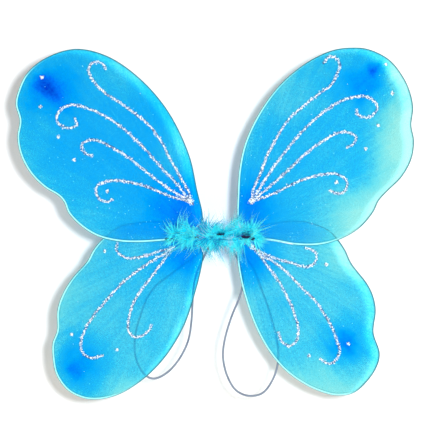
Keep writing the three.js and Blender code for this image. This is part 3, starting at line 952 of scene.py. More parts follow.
@dataclass
class Wing:
    """One wing: its wire, its nylon, the thread that ties it and its glitter."""

    plan: WingPlan
    nylon_radius: float = 1.12  # of the nylon where it wraps the wire
    nylon_depth: float = 0.55  # from the wing's middle plane to each layer
    mouth_reach: float = 15.3  # from the root to where the bunched nylon begins
    pleats: int = 17
    pleat_depth: float = 0.55
    pleat_fade: float = 20.0  # how far the pleats run on past the tie
    rim_rows: tuple[float, ...] = (0.45, 0.95, 1.6, 2.5)  # of the nylon's mesh, in from the wire
    hem_rows: int = 8  # of the nylon's turn round the wire
    layer_rows: int = 34  # of each layer, from its mouth to the wire
    lamp_side: tuple[float, float, float] = (-0.82, 0, -0.57)  # edges facing it get a painted highlight over the wire, the others painted shade
    tie_start: float = 17.6
    tie_length: float = 4.0
    tie_wall: float = 0.7
    tail_spread: float = 1.25
    steps: int = 8

    def __post_init__(self) -> None:
        """Work out where the wing lies."""
        self.side = self.plan.side
        self.body = f"{self.plan.name}_wing"
        self.place = self.side.place @ Matrix.Translation((0, self.plan.plane_y, 0))
        self.wire_path = front_path(self.wire_route(), 0, self.steps)
        self.hub = Vector((self.side.value * HUB_X, 0, 0))
        self.root = Vector((self.side.value * ROOT_X, 0, 0))
        self.covered = [p for p in self.wire_path if (p - self.root).length > self.mouth_reach]

    def wire_route(self) -> list[Point]:
        """Whole run of the wire, its two ends side by side in the tie.

        Returns:
            Front-view points, in millimetres.
        """
        tie_end = self.tie_start + self.tie_length
        ends = [self.side.value * x for x in (self.tie_start - 0.2, tie_end - 1, tie_end + 0.6)]
        first = [(x, self.tail_spread) for x in ends]
        last = [(x, -self.tail_spread) for x in reversed(ends)]
        return [*first, *self.plan.frame, *last]

    def add(self, name: str, bm: BMesh, material: Material, slot: Slot, *nodes: str) -> Piece:
        """Finish a piece that rides on this wing and replaces some of its nodes.

        Args:
            name: Last part of the piece's name.
            bm: Mesh in millimetres, about the wing's middle plane.
            material: Finish.
            slot: Record slot of the finish.
            *nodes: Last parts of the names of the nodes that it stands for.

        Returns:
            The piece.
        """
        piece = make_piece(f"{self.plan.name}_{name}", bm, self.place, material, slot)
        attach(piece, self.body)
        if nodes:
            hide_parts(*(f"{self.plan.name}_{node}" for node in nodes))
        return piece

    def build_wire(self, material: Material) -> None:
        """Bend the coated wire.

        Args:
            material: Finish of the wire's coating.
        """
        bm = bmesh.new()
        sweep_tube(bm, self.wire_path, 2 * WIRE_RADIUS, 2 * WIRE_RADIUS, 12)
        self.add("bent_wire", bm, material, Slot.WIRE, "wire_frame")

    def pleat(self, point: Vector, shrink: float = 1.0) -> float:
        """Depth of the folds that run out from the tie.

        Args:
            point: Point on the wing's middle plane.
            shrink: Share of the full depth.

        Returns:
            How far the cloth is shifted in depth there, in millimetres.
        """
        away = point - self.hub
        angle = math.atan2(away.z, away.x * self.side.value)
        fading = self.pleat_depth * math.exp(-max(away.length - 9, 0) / self.pleat_fade)
        return shrink * fading * math.sin(angle * self.pleats + 0.8 * math.sin(5 * angle))

    def mouth(self, rim: Vector) -> Vector:
        """Where the line from the hub to a rim point leaves the bunched nylon.

        Args:
            rim: Point on the wire.

        Returns:
            Point on the circle that the bunched nylon ends at, or the rim if that is nearer.
        """
        line = (rim - self.hub).normalized()
        offset = self.hub - self.root
        reach = -line.dot(offset) + math.sqrt(
            line.dot(offset) ** 2 + self.mouth_reach**2 - offset.length_squared
        )
        return self.hub + line * min(reach, (rim - self.hub).length)

    def wire_tree(self) -> KDTree:
        """Sort the wire's middle line by place, to find how far away it is.

        Returns:
            A tree of points along the wire.
        """
        path = smooth_path(self.wire_path, 8)
        tree = KDTree(len(path))
        for number, point in enumerate(path):
            tree.insert(point, number)
        tree.balance()
        return tree

    def build_cover(self, material: Material) -> None:
        """Stretch the nylon pouch over the wire.

        Args:
            material: Dyed nylon of this wing.
        """
        rims = self.covered
        last = len(rims) - 1
        mouths = [self.mouth(rim) for rim in rims]
        turns, layer_rows = self.hem_rows, self.layer_rows
        rows = 2 * layer_rows + turns
        wire = self.wire_tree()
        outward = []
        for k in range(last + 1):
            tangent = (rims[min(k + 1, last)] - rims[max(k - 1, 0)]).normalized()
            normal = tangent.cross(FRONT)
            outward.append(normal if normal.dot(rims[k] - self.hub) > 0 else -normal)
        bm = bmesh.new()
        layers = bm.verts.layers.float
        deep_mark, lit_mark = layers.new("deep"), layers.new("lit")

        def place(column: int, row: int) -> Vector:
            """Point of the pouch: out along the front, round the wire and in along the back.

            Args:
                column: Place round the rim.
                row: Place along the cloth.

            Returns:
                The point, about the wing's middle plane.
            """
            rim, mouth, normal = rims[column], mouths[column], outward[column]
            if layer_rows <= row <= layer_rows + turns:
                angle = math.pi * ((row - layer_rows) / turns - 0.5)
                turn = normal * math.cos(angle) + FRONT * -math.sin(angle)
                return rim + turn * self.nylon_radius
            inward = layer_rows - (row if row < layer_rows else rows - row)
            whole = (rim - mouth).length
            close = min(self.rim_rows[min(inward, len(self.rim_rows)) - 1], whole * inward / layer_rows)
            share = max(0, inward - len(self.rim_rows)) / (layer_rows - len(self.rim_rows))
            deep = close + (whole - close) * (1 - math.cos(math.pi * share)) / 2
            point = rim.lerp(mouth, deep / whole) if whole else rim.copy()
            away = wire.find(point)[2]
            depth = self.nylon_depth + (self.nylon_radius - self.nylon_depth) * fall(away, 2.0)
            depth += 0.3 * fall(max((point - self.hub).length - 9, 0), 14)
            face = 1 if row < layer_rows else -1
            return point + FRONT * (face * depth + self.pleat(point, 1 - fall(away, 4)))

        lines = map_grid(bm, last, rows, place)
        for column, line in enumerate(lines):
            # 1 on edges that face the lamp's side, which get a painted highlight; 0 on the others, which get
            # painted shade
            lit = min(max((outward[column].dot(Vector(self.lamp_side)) + 0.15) / 0.6, 0), 1)
            for row, vertex in enumerate(line):
                flat = Vector((vertex.co.x, 0, vertex.co.z))
                away = wire.find(flat)[2]
                vertex[deep_mark] = -away if layer_rows <= row <= layer_rows + turns else away
                vertex[lit_mark] = lit
        ends = {vertex for line in (lines[0], lines[-1]) for vertex in line}
        open_edges = [edge for edge in bm.edges if edge.is_boundary]
        fronts = [edge for edge in open_edges if not all(v in ends for v in edge.verts)]
        bmesh.ops.bridge_loops(bm, edges=fronts)
        bmesh.ops.remove_doubles(bm, verts=bm.verts, dist=0.002)
        bmesh.ops.holes_fill(bm, edges=[e for e in bm.edges if e.is_boundary], sides=0)
        cover = self.add("stretched_nylon", bm, material, Slot.NYLON, "nylon_cover")
        self.declare_cloth(cover, rims)

    def declare_cloth(self, cover: Piece, rims: Sequence[Vector]) -> None:
        """Say what size the pouch is when it is laid flat.

        Args:
            cover: The pouch.
            rims: Points on the wire round it.
        """
        width = (max(p.x for p in rims) - min(p.x for p in rims)) / 1000
        length = (max(p.z for p in rims) - min(p.z for p in rims)) / 1000
        area = polygon_area(rims) / 1e6
        LOG.info("%s laid flat: %.3f x %.3f m, %.4f m2", cover.name, width, length, area)

    def build_gather(self, material: Material) -> None:
        """Bunch the nylon between the tie and the cover.

        Args:
            material: Finish of the bunched nylon.
        """
        inner, outer = self.tie_length + 1.2, self.mouth_reach - 0.4
        near = [p for p in self.wire_path if inner < (p - self.root).length < outer + 3]
        sides = [[p for p in near if p.z * sign > 0] for sign in (1, -1)]
        sides = [sorted(points, key=lambda p: (p - self.root).length) for points in sides]
        columns, rows = 72, 14

        def edge(points: Sequence[Vector], reach: float) -> Vector:
            """Point of one wire at a distance from the root.

            Args:
                points: Points of the wire, outwards from the root.
                reach: The distance.

            Returns:
                The point.
            """
            for start, end in zip(points, points[1:]):
                low, high = (start - self.root).length, (end - self.root).length
                if low <= reach <= high:
                    return start.lerp(end, (reach - low) / (high - low))
            return points[0] if reach < (points[0] - self.root).length else points[-1]

        def place(column: int, row: int) -> Vector:
            """Point of the fan between the two wires, folded deeper near the tie.

            Args:
                column: Place across the fan.
                row: Place outwards along it.

            Returns:
                The point, about the wing's middle plane.
            """
            reach = inner + (outer - inner) * row / rows
            above, below = edge(sides[0], reach), edge(sides[1], reach)
            share = column / columns
            point = below.lerp(above, share)
            bow = (reach - (point - self.root).length) * math.sin(math.pi * share)
            point += (point - self.root).normalized() * bow
            return point + FRONT * self.pleat(point, min(1, 6 * share, 6 * (1 - share)))

        bm = bmesh.new()
        map_grid(bm, columns, rows, place)
        bmesh.ops.remove_doubles(bm, verts=bm.verts, dist=0.005)
        bmesh.ops.recalc_face_normals(bm, faces=bm.faces)
        bmesh.ops.solidify(bm, geom=bm.faces[:], thickness=1.1)
        self.add("bunched_nylon", bm, material, Slot.GATHER, "nylon_gather")

    def build_tie(self, material: Material) -> None:
        """Wind thread round the two wire ends and the nylon's mouth.

        Args:
            material: Finish of the thread.
        """
        thread, layers, steps = 0.36, 11, 20
        high = self.tail_spread + WIRE_RADIUS + 0.3 + self.tie_wall - thread / 2
        deep = WIRE_RADIUS + 0.3 + self.tie_wall - thread / 2
        coil = []
        for step in range(layers * steps + 1):
            angle = 2 * math.pi * step / steps
            x = self.tie_start + thread / 2 + (self.tie_length - thread) * step / (layers * steps)
            coil.append(Vector((self.side.value * x, deep * math.cos(angle), high * math.sin(angle))))
        bm = bmesh.new()
        sweep_tube(bm, coil, thread * 1.15, thread * 1.15, 6)
        core = [Vector((self.side.value * (self.tie_start + x), 0, 0)) for x in (0.1, 2, 3.9)]
        sweep_tube(bm, core, 2 * high - 0.2, 2 * deep - 0.2, 20)
        self.add("wound_thread", bm, material, Slot.THREAD, "root_tie")

    def build_tail(self, material: Material) -> None:
        """Twist the nylon's tail and the wire ends on into the side's tape.

        Args:
            material: Finish of the bunched nylon.
        """
        bm = bmesh.new()
        tail = [Vector((self.side.value * x, 0, 0)) for x in (12.4, 14, 15.6, 16.6, 17.4, 18.4)]
        sweep_tube(bm, tail, 4.2, 2.4, 18, (1, 0.928, 0.856, 0.856, 0.928, 1))
        piece = make_piece(f"{self.plan.name}_nylon_tail", bm, self.place, material, Slot.GATHER)
        start, end = (self.place @ Vector((self.side.value * x, 0, 0)) for x in (15.4, 17.6))
        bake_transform(piece, self.side.body, self.body, start=tuple(start), end=tuple(end))


@dataclass
class Glitter:
    """The glue lines, dots and loose flakes of one wing."""

    wing: Wing
    line_width: float = 2.9
    line_depth: float = 0.75
    front: float = 0.7  # from the wing's middle plane to the back of a glue line
    flake: float = 0.58  # radius of a flake, corner to corner
    flakes_per_mm: float = 4.8
    line_spray: float = 0.27  # spread of the flakes across a line, as a share of its width
    patch: float = 1.15  # size of a patch of like flakes
    likeness: float = 0.75  # share of a patch's flakes that are alike
    blot_flakes: int = 105
    dot_flakes: int = 60
    strays: int = 110

    def __post_init__(self) -> None:
        """Seed this wing's own draws."""
        self.draw = random.Random(sum(map(ord, self.wing.plan.name)))
        self.patches: dict[tuple[int, int], float] = {}

    def tone(self, place: Vector) -> float:
        """Pick a flake's foil colour, mostly like its neighbours', which catch the same light.

        Args:
            place: Middle of the flake.

        Returns:
            Its tone, from 0 to 1.
        """
        patch = (round(place.x / self.patch), round(place.z / self.patch))
        shared = self.patches.setdefault(patch, self.draw.random())
        return shared if self.draw.random() < self.likeness else self.draw.random()

    def beads(self) -> list[list[Vector]]:
        """Middle lines of the wing's glue scrolls."""
        plan, depth = self.wing.plan, -(self.front + self.line_depth / 2)
        return [front_path([plan.scroll_root, *scroll], depth, 5) for scroll in plan.scrolls]

    def scatter(self, places: Sequence[Vector], size: float, lift: float) -> BMesh:
        """Drop thin six-sided flakes at places.

        Args:
            places: Middles of the flakes.
            size: Usual radius of a flake.
            lift: How far a flake may be tipped out of the wing's plane, from 0 to 1.

        Returns:
            A mesh of flakes, each with its own tone.
        """
        bm = bmesh.new()
        bm.verts.layers.float.new("tone")
        bmesh.ops.create_cone(bm, cap_ends=True, segments=6, radius1=1.0, radius2=0.94, depth=0.16)
        flakes = copy_many(bm, len(places))
        tone = bm.verts.layers.float["tone"]
        for flake, place in zip(flakes, places):
            tip = Matrix.Rotation(math.pi / 2 + self.draw.gauss(0, lift), 4, "X")
            roll = Matrix.Rotation(self.draw.gauss(0, lift), 4, "Z")
            spin = Matrix.Rotation(self.draw.uniform(0, math.pi / 3), 4, "Z")
            radius = size * self.draw.uniform(0.7, 1.25)
            seat = Matrix.Translation(place) @ roll @ tip @ spin @ Matrix.Scale(radius, 4)
            hue = self.tone(place)
            for vertex in flake:
                vertex.co = seat @ vertex.co
                vertex[tone] = hue
        return bm

    def build_lines(self, glue: Material, foil: Material) -> None:
        """Squeeze out the scrolls and bed flakes in them.

        Args:
            glue: Finish of the clear glue.
            foil: Finish of the flakes.
        """
        bm = bmesh.new()
        places = []
        for line in self.beads():
            wobble = [self.draw.uniform(0.74, 1.06) for _ in line]
            sweep_tube(bm, line, self.line_width, self.line_depth, 8, wobble)
            for start, end in zip(line, line[1:]):
                span = end - start
                across = span.normalized().cross(FRONT)
                for _ in range(round(span.length * self.flakes_per_mm)):
                    aside = self.draw.gauss(0, self.line_spray) * self.line_width
                    crown = max(0.0, 1 - (2 * aside / self.line_width) ** 2)
                    rise = self.line_depth * (0.5 * math.sqrt(crown) + 0.02)
                    place = start + span * self.draw.random() + across * aside + FRONT * rise
                    places.append(place)
        x, z = self.wing.plan.scroll_root
        middle = Vector((x, -(self.front + self.line_depth / 2), z))
        blot = bmesh.ops.create_uvsphere(bm, u_segments=16, v_segments=8, radius=1.0)["verts"]
        shape = Matrix.Diagonal((2.3, self.line_depth / 2, 2.3, 1))
        bmesh.ops.transform(bm, matrix=Matrix.Translation(middle) @ shape, verts=blot)
        for _ in range(self.blot_flakes):
            places.append(middle + Vector((self.draw.gauss(0, 1.3), -0.32, self.draw.gauss(0, 1.3))))
        self.wing.add("glue_scrolls", bm, glue, Slot.GLITTER, "glitter_scrolls")
        self.wing.add("scroll_flakes", self.scatter(places, self.flake, 0.5), foil, Slot.GLITTER)

    def build_dots(self, glue: Material, foil: Material) -> None:
        """Drop the round dots of glitter glue.

        Args:
            glue: Finish of the clear glue.
            foil: Finish of the flakes.
        """
        for number, (x, z) in enumerate(self.wing.plan.dots, 1):
            middle = Vector((x, -(self.front + 0.4), z))
            bm = bmesh.new()
            bmesh.ops.create_uvsphere(bm, u_segments=20, v_segments=10, radius=1.0)
            shape = Matrix.Translation(middle) @ Matrix.Diagonal((1.7, 0.4, 1.55, 1))
            bmesh.ops.transform(bm, matrix=shape, verts=bm.verts)
            self.wing.add(f"glue_dot_{number}", bm, glue, Slot.GLITTER, f"glitter_dot_{number}")
            places = [
                middle + Vector((self.draw.gauss(0, 0.75), -0.34, self.draw.gauss(0, 0.75)))
                for _ in range(self.dot_flakes)
            ]
            flakes = self.scatter(places, self.flake, 0.5)
            self.wing.add(f"dot_flakes_{number}", flakes, foil, Slot.GLITTER)

    def build_strays(self, foil: Material) -> None:
        """Sprinkle the loose flakes that stick to the nylon.

        Args:
            foil: Finish of the loose flakes.
        """
        rims = self.wing.covered
        places = []
        while len(places) < self.strays:
            rim = self.draw.choice(rims)
            share = math.sqrt(self.draw.random()) * 0.95
            spot = self.wing.hub.lerp(rim, share)
            if (spot - self.wing.hub).length > 25:
                places.append(spot + FRONT * (self.wing.nylon_depth + 0.1))
        self.wing.add("loose_flakes", self.scatter(places, 0.34, 0.25), foil, Slot.GLITTER)


# ---------------------------------------------------------------- the middle


@dataclass
class ArmLoop:
    """An elastic loop for one arm, with the knot that ties its ends."""

    side: Side
    diameter: float = 2.5
    knot_x: float = 12.8
    knot_z: float = -8.2
    knot_radius: float = 3.0

    def build_elastic(self, material: Material) -> None:
        """Args:
            material: Braided finish.
        """
        route = front_path(ELASTIC_ROUTES[self.side], ELASTIC_Y, 6)
        bm = bmesh.new()
        sweep_tube(bm, route, self.diameter, self.diameter, 14)
        name = f"{self.side.label}_arm_elastic"
        piece = make_piece(name, bm, self.side.place, material, Slot.ELASTIC)
        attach(piece, self.side.body)
        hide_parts(f"{self.side.label}_elastic_loop")
        path = [tuple(self.side.place @ point) for point in route]
        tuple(path[0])

    def build_knot(self, material: Material) -> None:
        """Tie the loop's two ends in an overhand knot.

        Args:
            material: Braided finish.
        """
        knot = []
        size = (self.knot_radius - 0.9) / 3
        for step in range(73):
            angle = 2 * math.pi * step / 72
            x = math.sin(angle) + 2 * math.sin(2 * angle)
            z = math.cos(angle) - 2 * math.cos(2 * angle)
            y = -math.sin(3 * angle)
            knot.append(Vector((x * size, y * 1.1, z * size)))
        bm = bmesh.new()
        sweep_tube(bm, knot, 1.75, 1.75, 12)
        middle = (self.side.value * self.knot_x, ELASTIC_Y, self.knot_z)
        bmesh.ops.translate(bm, vec=middle, verts=bm.verts)
        name = f"{self.side.label}_elastic_tied"
        piece = make_piece(name, bm, self.side.place, material, Slot.ELASTIC)
        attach(piece, self.side.body)
        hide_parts(f"{self.side.label}_elastic_knot")


@dataclass
class Binding:
    """The taped middle: a flat block over the twisted wires and a bobbin at each side."""

    width: float = 12.0
    depth: float = 16.4
    height: float = 22.0
    corner: float = 3.0
    bobbin_radius: float = 4.5
    bobbin_height: float = 19.6
    tape_step: float = 0.28
    tape_turns: int = 5

    def build_block(self, material: Material) -> None:
        """Wrap the middle block, with a step at each turn of the tape.

        Args:
            material: Finish of the tape.
        """
        bm = bmesh.new()
        bmesh.ops.create_cube(bm, size=1.0)
        inner = (self.depth - 2 * self.tape_step, self.height - 2 * self.tape_step)
        size = Matrix.Diagonal((self.width, *inner, 1))
        middle = Matrix.Translation((0, -self.depth / 2, 0))
        bmesh.ops.transform(bm, matrix=middle @ size, verts=bm.verts)
        long_edges = [e for e in bm.edges if abs(e.verts[0].co.x - e.verts[1].co.x) > 1]
        bmesh.ops.bevel(
            bm, geom=long_edges, offset=self.corner, offset_type="OFFSET", affect="EDGES",
            segments=8, profile=0.5, material=-1,
        )
        for turn in range(1, self.tape_turns):
            cut = self.width * (turn / self.tape_turns - 0.5)
            for nudge in (-0.12, 0.12):
                bmesh.ops.bisect_plane(
                    bm, geom=bm.verts[:] + bm.edges[:] + bm.faces[:], dist=1e-4,
                    plane_co=(cut + nudge, 0, 0), plane_no=(1, 0, 0),
                )
        for vertex in bm.verts:
            turn = (vertex.co.x / self.width + 0.5) * self.tape_turns
            lap = turn - math.floor(turn - 1e-3)
            away = Vector((0, vertex.co.y + self.depth / 2, vertex.co.z))
            vertex.co += away.normalized() * self.tape_step * max(0.1, lap)
            vertex.co.y = min(vertex.co.y, 0.0)
        block = make_piece("taped_middle", bm, MILLIMETRES, material, Slot.TAPE)
        block.data.shade_flat()
        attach(block, "centre")
        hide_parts("centre_binding")

    def build_bobbin(self, side: Side, material: Material) -> None:
        """Wind tape round one side's four wire ends.

        Args:
            side: Side that is wound.
            material: Finish of the tape.
        """
        half, turns = self.bobbin_height / 2, 7
        profile = [(0.0, -half), (self.bobbin_radius - 1.3, -half)]
        for turn in range(turns):
            low = -half + 0.5 + (self.bobbin_height - 1.0) * turn / turns
            high = -half + 0.5 + (self.bobbin_height - 1.0) * (turn + 1) / turns
            crown = 1 - 0.45 * ((low + high) / 2 / half) ** 2
            radius = self.bobbin_radius - 0.5 * (1 - crown)
            profile += [(radius - self.tape_step, low), (radius, high - 0.15)]
        profile += [(self.bobbin_radius - 1.3, half), (0.0, half)]
        bm = bmesh.new()
        chain = [bm.verts.new((radius, 0, z)) for radius, z in profile]
        edges = [bm.edges.new(pair) for pair in zip(chain, chain[1:])]
        bmesh.ops.spin(
            bm, geom=chain + edges, cent=(0, 0, 0), axis=(0, 0, 1), dvec=(0, 0, 0),
            angle=2 * math.pi, steps=48, use_merge=True,
        )
        bmesh.ops.remove_doubles(bm, verts=bm.verts, dist=0.001)
        bmesh.ops.translate(bm, vec=(side.value * FOLD_X, FOLD_Y, 0), verts=bm.verts)
        bobbin = make_piece(f"{side.label}_taped_side", bm, side.place, material, Slot.TAPE)
        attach(bobbin, side.body)
        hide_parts(f"{side.label}_side_binding")

    def build_glue(self, material: Material) -> None:
        """Press a lump of glue between the block and the feathers.

        Args:
            material: Finish of the set glue.
        """
        draw = random.Random(5)
        bm = bmesh.new()
        bmesh.ops.create_icosphere(bm, subdivisions=4, radius=1.0)
        for vertex in bm.verts:
            vertex.co *= 1 + 0.05 * math.sin(5 * vertex.co.x + 3 * vertex.co.z) + draw.uniform(-0.01, 0.01)
        shape = Matrix.Translation((0, -self.depth - 1.0, 0)) @ Matrix.Diagonal((5, 0.7, 4.5, 1))
        bmesh.ops.transform(bm, matrix=shape, verts=bm.verts)
        piece = make_piece("set_glue", bm, MILLIMETRES, material, Slot.GLUE)
        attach(piece, "centre")
        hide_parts("feather_glue_pad")

    def dress_twist(self, material: Material) -> None:
        """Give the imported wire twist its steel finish.

        Args:
            material: Finish of the bare wire.
        """
        twist = frame["nodes"]["centre_wire_twist"]
        for slot in twist.material_slots:
            slot.material = material


@dataclass(frozen=True)
class Parting:
    """A place where the down parts and the near-black cord shows as painted shade in the gap, in millimetres
    on the front view.
    """

    x: float
    z: float
    reach_x: float
    reach_z: float

    def holds(self, point: Vector) -> bool:
        """Whether a point lies in the parting."""
        return ((point.x - self.x) / self.reach_x) ** 2 + ((point.z - self.z) / self.reach_z) ** 2 < 1


@dataclass(frozen=True)
class DownSection:
    """One length of the marabou trim."""

    name: str
    node: str
    body: str
    place: Matrix
    route: Route
    down: Route  # stretch of it that plumes grow from
    sweep: float  # how strongly they lean to the right
    wisps: float  # share of them that stand up as pale wisps
    plumes: int
    seed: int


@dataclass(frozen=True)
class Plume:
    """One soft plume: where its quill starts, which way it runs and how it curves."""

    base: Vector
    heading: Vector
    across: Vector
    droop: Vector
    curl: Vector
    length: float
    phase: float
    tone: float
    wispy: bool


@dataclass
class Marabou:
    """The marabou trim: a cord with soft plumes standing out from it all round."""

    section: DownSection
    barbs: int = 12
    plume_length: float = 6.5
    plume_sizes: tuple[float, ...] = (0.4, 0.7, 1.0, 1.4)
    plume_tones: tuple[float, ...] = (0.0, 0.12, 0.45, 0.65, 0.9)
    wisp_growth: float = 1.7  # how much longer a wisp is
    wisp_width: float = 0.4
    wisp_tone: float = 2.0  # past every other tone, so that wisps alone turn pale
    barb_length: float = 12.4
    barb_width: float = 0.64
    barb_wave: float = 1.6
    bright_x: float = 20.0  # where the lamp catches the down most
    bright_reach: float = 22.0
    brightness: float = 0.28
    fluff_radius: float = 22.0  # distance from the cord at which the down is palest
    nearest_y: float = -33.4  # keeps the down inside the model's size
    farthest_y: float = -14.2  # keeps it in front of the wings
    parted_y: float = -18.0  # where barbs are tucked behind the cord in a parting

    def __post_init__(self) -> None:
        """Seed this section's own draws."""
        self.draw = random.Random(self.section.seed)

    def build_cord(self, material: Material) -> None:
        """Twist the cord that holds the quills.

        Args:
            material: Finish of the cord.
        """
        route = front_path(self.section.route, FEATHER_Y, 8)
        bm = bmesh.new()
        for strand in range(3):
            path, travelled = [], 0.0
            for k, point in enumerate(route):
                travelled += (point - route[k - 1]).length if k else 0.0
                angle = travelled * 0.5 + strand * 2 * math.pi / 3
                path.append(point + Vector((0, math.cos(angle), math.sin(angle))) * 1.15)
            sweep_tube(bm, path, 2.7, 2.7, 12)
        name = f"{self.section.name}_down_cord"
        piece = make_piece(name, bm, self.section.place, material, Slot.DOWN)
        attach(piece, self.section.body)
        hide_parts(self.section.node)

    def barb_shape(self) -> BMesh:
        """Make one straight barb of unit length and radius, along Z, ready to be bent.

        Returns:
            Its mesh, with layers for the distance from the cord and for the tone.
        """
        bm = bmesh.new()
        bm.verts.layers.float.new("tip")
        bm.verts.layers.float.new("tone")
        bmesh.ops.create_cone(bm, cap_ends=True, segments=3, radius1=1, radius2=1, depth=1)
        bmesh.ops.translate(bm, vec=(0, 0, 0.5), verts=bm.verts)
        upright = [e for e in bm.edges if abs(e.verts[0].co.z - e.verts[1].co.z) > 0.5]
        bmesh.ops.subdivide_edges(bm, edges=upright, cuts=6)
        return bm

    def start_plume(self, base: Vector) -> Plume:
        """Set one plume on the cord, swept towards the trim's end.

        Args:
            base: Point of the cord that its quill is tied to.

        Returns:
            The plume.
        """
        turn = self.draw.uniform(-math.pi, math.pi)
        heading = Vector((self.section.sweep + self.draw.gauss(0, 0.55), -0.45, math.sin(turn)))
        heading.y *= abs(math.cos(turn))
        heading.normalize()
        tilt = Vector((self.draw.gauss(0, 0.3), 1, self.draw.gauss(0, 0.3)))
        wispy = self.draw.random() < self.section.wisps
        shine = self.brightness * fall(base.x - self.bright_x, self.bright_reach)
        return Plume(
            base=base,
            heading=heading,
            across=heading.cross(tilt).normalized(),
            droop=Vector((self.draw.gauss(0, 0.6), self.draw.uniform(-0.1, 0.2), self.draw.gauss(0, 0.5))),
            curl=Vector((self.draw.gauss(0, 0.8), self.draw.uniform(-0.2, 0.1), self.draw.gauss(0, 0.8))),
            length=self.plume_length
            * self.draw.choice(self.plume_sizes)
            * (self.wisp_growth if wispy else 1),
            phase=self.draw.uniform(-math.pi, math.pi),
            tone=self.draw.choice(self.plume_tones) + shine,
            wispy=wispy,
        )

    def comb_barb(
        self, plume: Plume, number: int, barb: Sequence[bmesh.types.BMVert], layers: Sequence[Layer]
    ) -> None:
        """Bend one straight barb so that it leaves the quill and sweeps on towards its tip.

        Args:
            plume: Plume that it grows on.
            number: Its place along the quill.
            barb: Points of the straight barb.
            layers: Float layers for the distance from the cord and for the tone.
        """
        up = (number + 0.5) / self.barbs
        flip = 1 if number % 2 else -1
        quill = plume.heading * (0.8 + plume.length * up) + plume.droop * (plume.length * up * up * 0.5)
        root = plume.base + quill
        spread = 0.55 - 0.3 * up + self.draw.gauss(0, 0.12)
        out = (plume.heading + plume.droop * up + plume.across * (flip * spread)).normalized()
        curl = plume.curl + Vector(
            (self.draw.gauss(0, 0.14), self.draw.gauss(0, 0.08), self.draw.gauss(0, 0.14))
        )
        reach = self.barb_length * (1.05 - 0.4 * up) * self.draw.uniform(0.55, 1.15)
        width = self.barb_width * (self.wisp_width if plume.wispy else self.draw.uniform(0.7, 1.25))
        tone = self.wisp_tone if plume.wispy else min(1.0, plume.tone + self.draw.gauss(0, 0.15))
        phase = plume.phase + self.draw.gauss(0, 0.4)
        wide = out.cross(FRONT)
        wide = wide.normalized() if wide.length > 0.05 else Vector((1, 0, 0))
        deep = out.cross(wide)
        for vertex in barb:
            step = vertex.co.z
            thick = width * (1 - 0.72 * step**3)
            middle = root + out * (reach * step) + curl * (reach * step * step)
            middle += plume.across * (self.barb_wave * step * math.sin(5 * step + phase))
            vertex.co = middle + wide * (vertex.co.x * thick) + deep * (vertex.co.y * thick * 0.45)
            vertex.co.y = max(min(vertex.co.y, self.farthest_y), self.nearest_y)
            if any(parting.holds(vertex.co) for parting in PARTINGS):
                vertex.co.y = max(vertex.co.y, self.parted_y)
            vertex[layers[0]] = min(1.0, (vertex.co - plume.base).length / self.fluff_radius)
            vertex[layers[1]] = tone

    def build_down(self, material: Material) -> None:
        """Grow plumes out of the cord and comb their barbs.

        Args:
            material: Finish of the down.
        """
        route = front_path(self.section.down, FEATHER_Y, 12)
        bm = self.barb_shape()
        copies = iter(copy_many(bm, self.section.plumes * self.barbs))
        layers = [bm.verts.layers.float[name] for name in ("tip", "tone")]
        for number in range(self.section.plumes):
            share = (number + self.draw.random()) / self.section.plumes
            plume = self.start_plume(route[min(int(share * len(route)), len(route) - 1)])
            for barb in range(self.barbs):
                self.comb_barb(plume, barb, next(copies), layers)
        self.place_down(bm, material)

    def place_down(self, bm: BMesh, material: Material) -> None:
        """Fix the middle's down to the middle, or let a side's down stretch across the fold next to the
        middle.

        Args:
            bm: Mesh of the down.
            material: Finish of the down.
        """
        name = f"{self.section.name}_marabou"
        piece = make_piece(name, bm, self.section.place, material, Slot.DOWN)
        if self.section.body == "centre":
            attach(piece, "centre")
            return
        side = -1 if self.section.route[0][0] < 0 else 1
        start, end = (self.section.place @ Vector((side * x, FEATHER_Y, 0)) for x in (6, 20))
        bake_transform(piece, "centre", self.section.body, start=tuple(start), end=tuple(end))


PARTINGS = (Parting(29.5, 1.0, 6.5, 3.6), Parting(0.5, 2.5, 5.5, 1.6))
DOWN_SECTIONS = (
    DownSection(
        "left", "left_feather_trim", Side.LEFT.body, Side.LEFT.place,
        ((-25, 0), (-44, -2), (-62, -4)), ((-8, 0), (-24, 0), (-36, 1), (-50, 0)), -0.8, 0.02, 74, 11,
    ),
    DownSection(
        "centre", "centre_feather_trim", "centre", MILLIMETRES,
        ((-7, 0), (0, 0.5), (7, 0)), ((-14, 0), (0, 1), (18, 1)), 0.0, 0.10, 60, 23,
    ),
    DownSection(
        "right", "right_feather_trim", Side.RIGHT.body, Side.RIGHT.place,
        ((25, -1), (34, -2), (44, -3)), ((12, 1), (22, 1), (30, 1), (37, 1)), 0.45, 0.03, 48, 37,
    ),
)


# ---------------------------------------------------------------- the studio


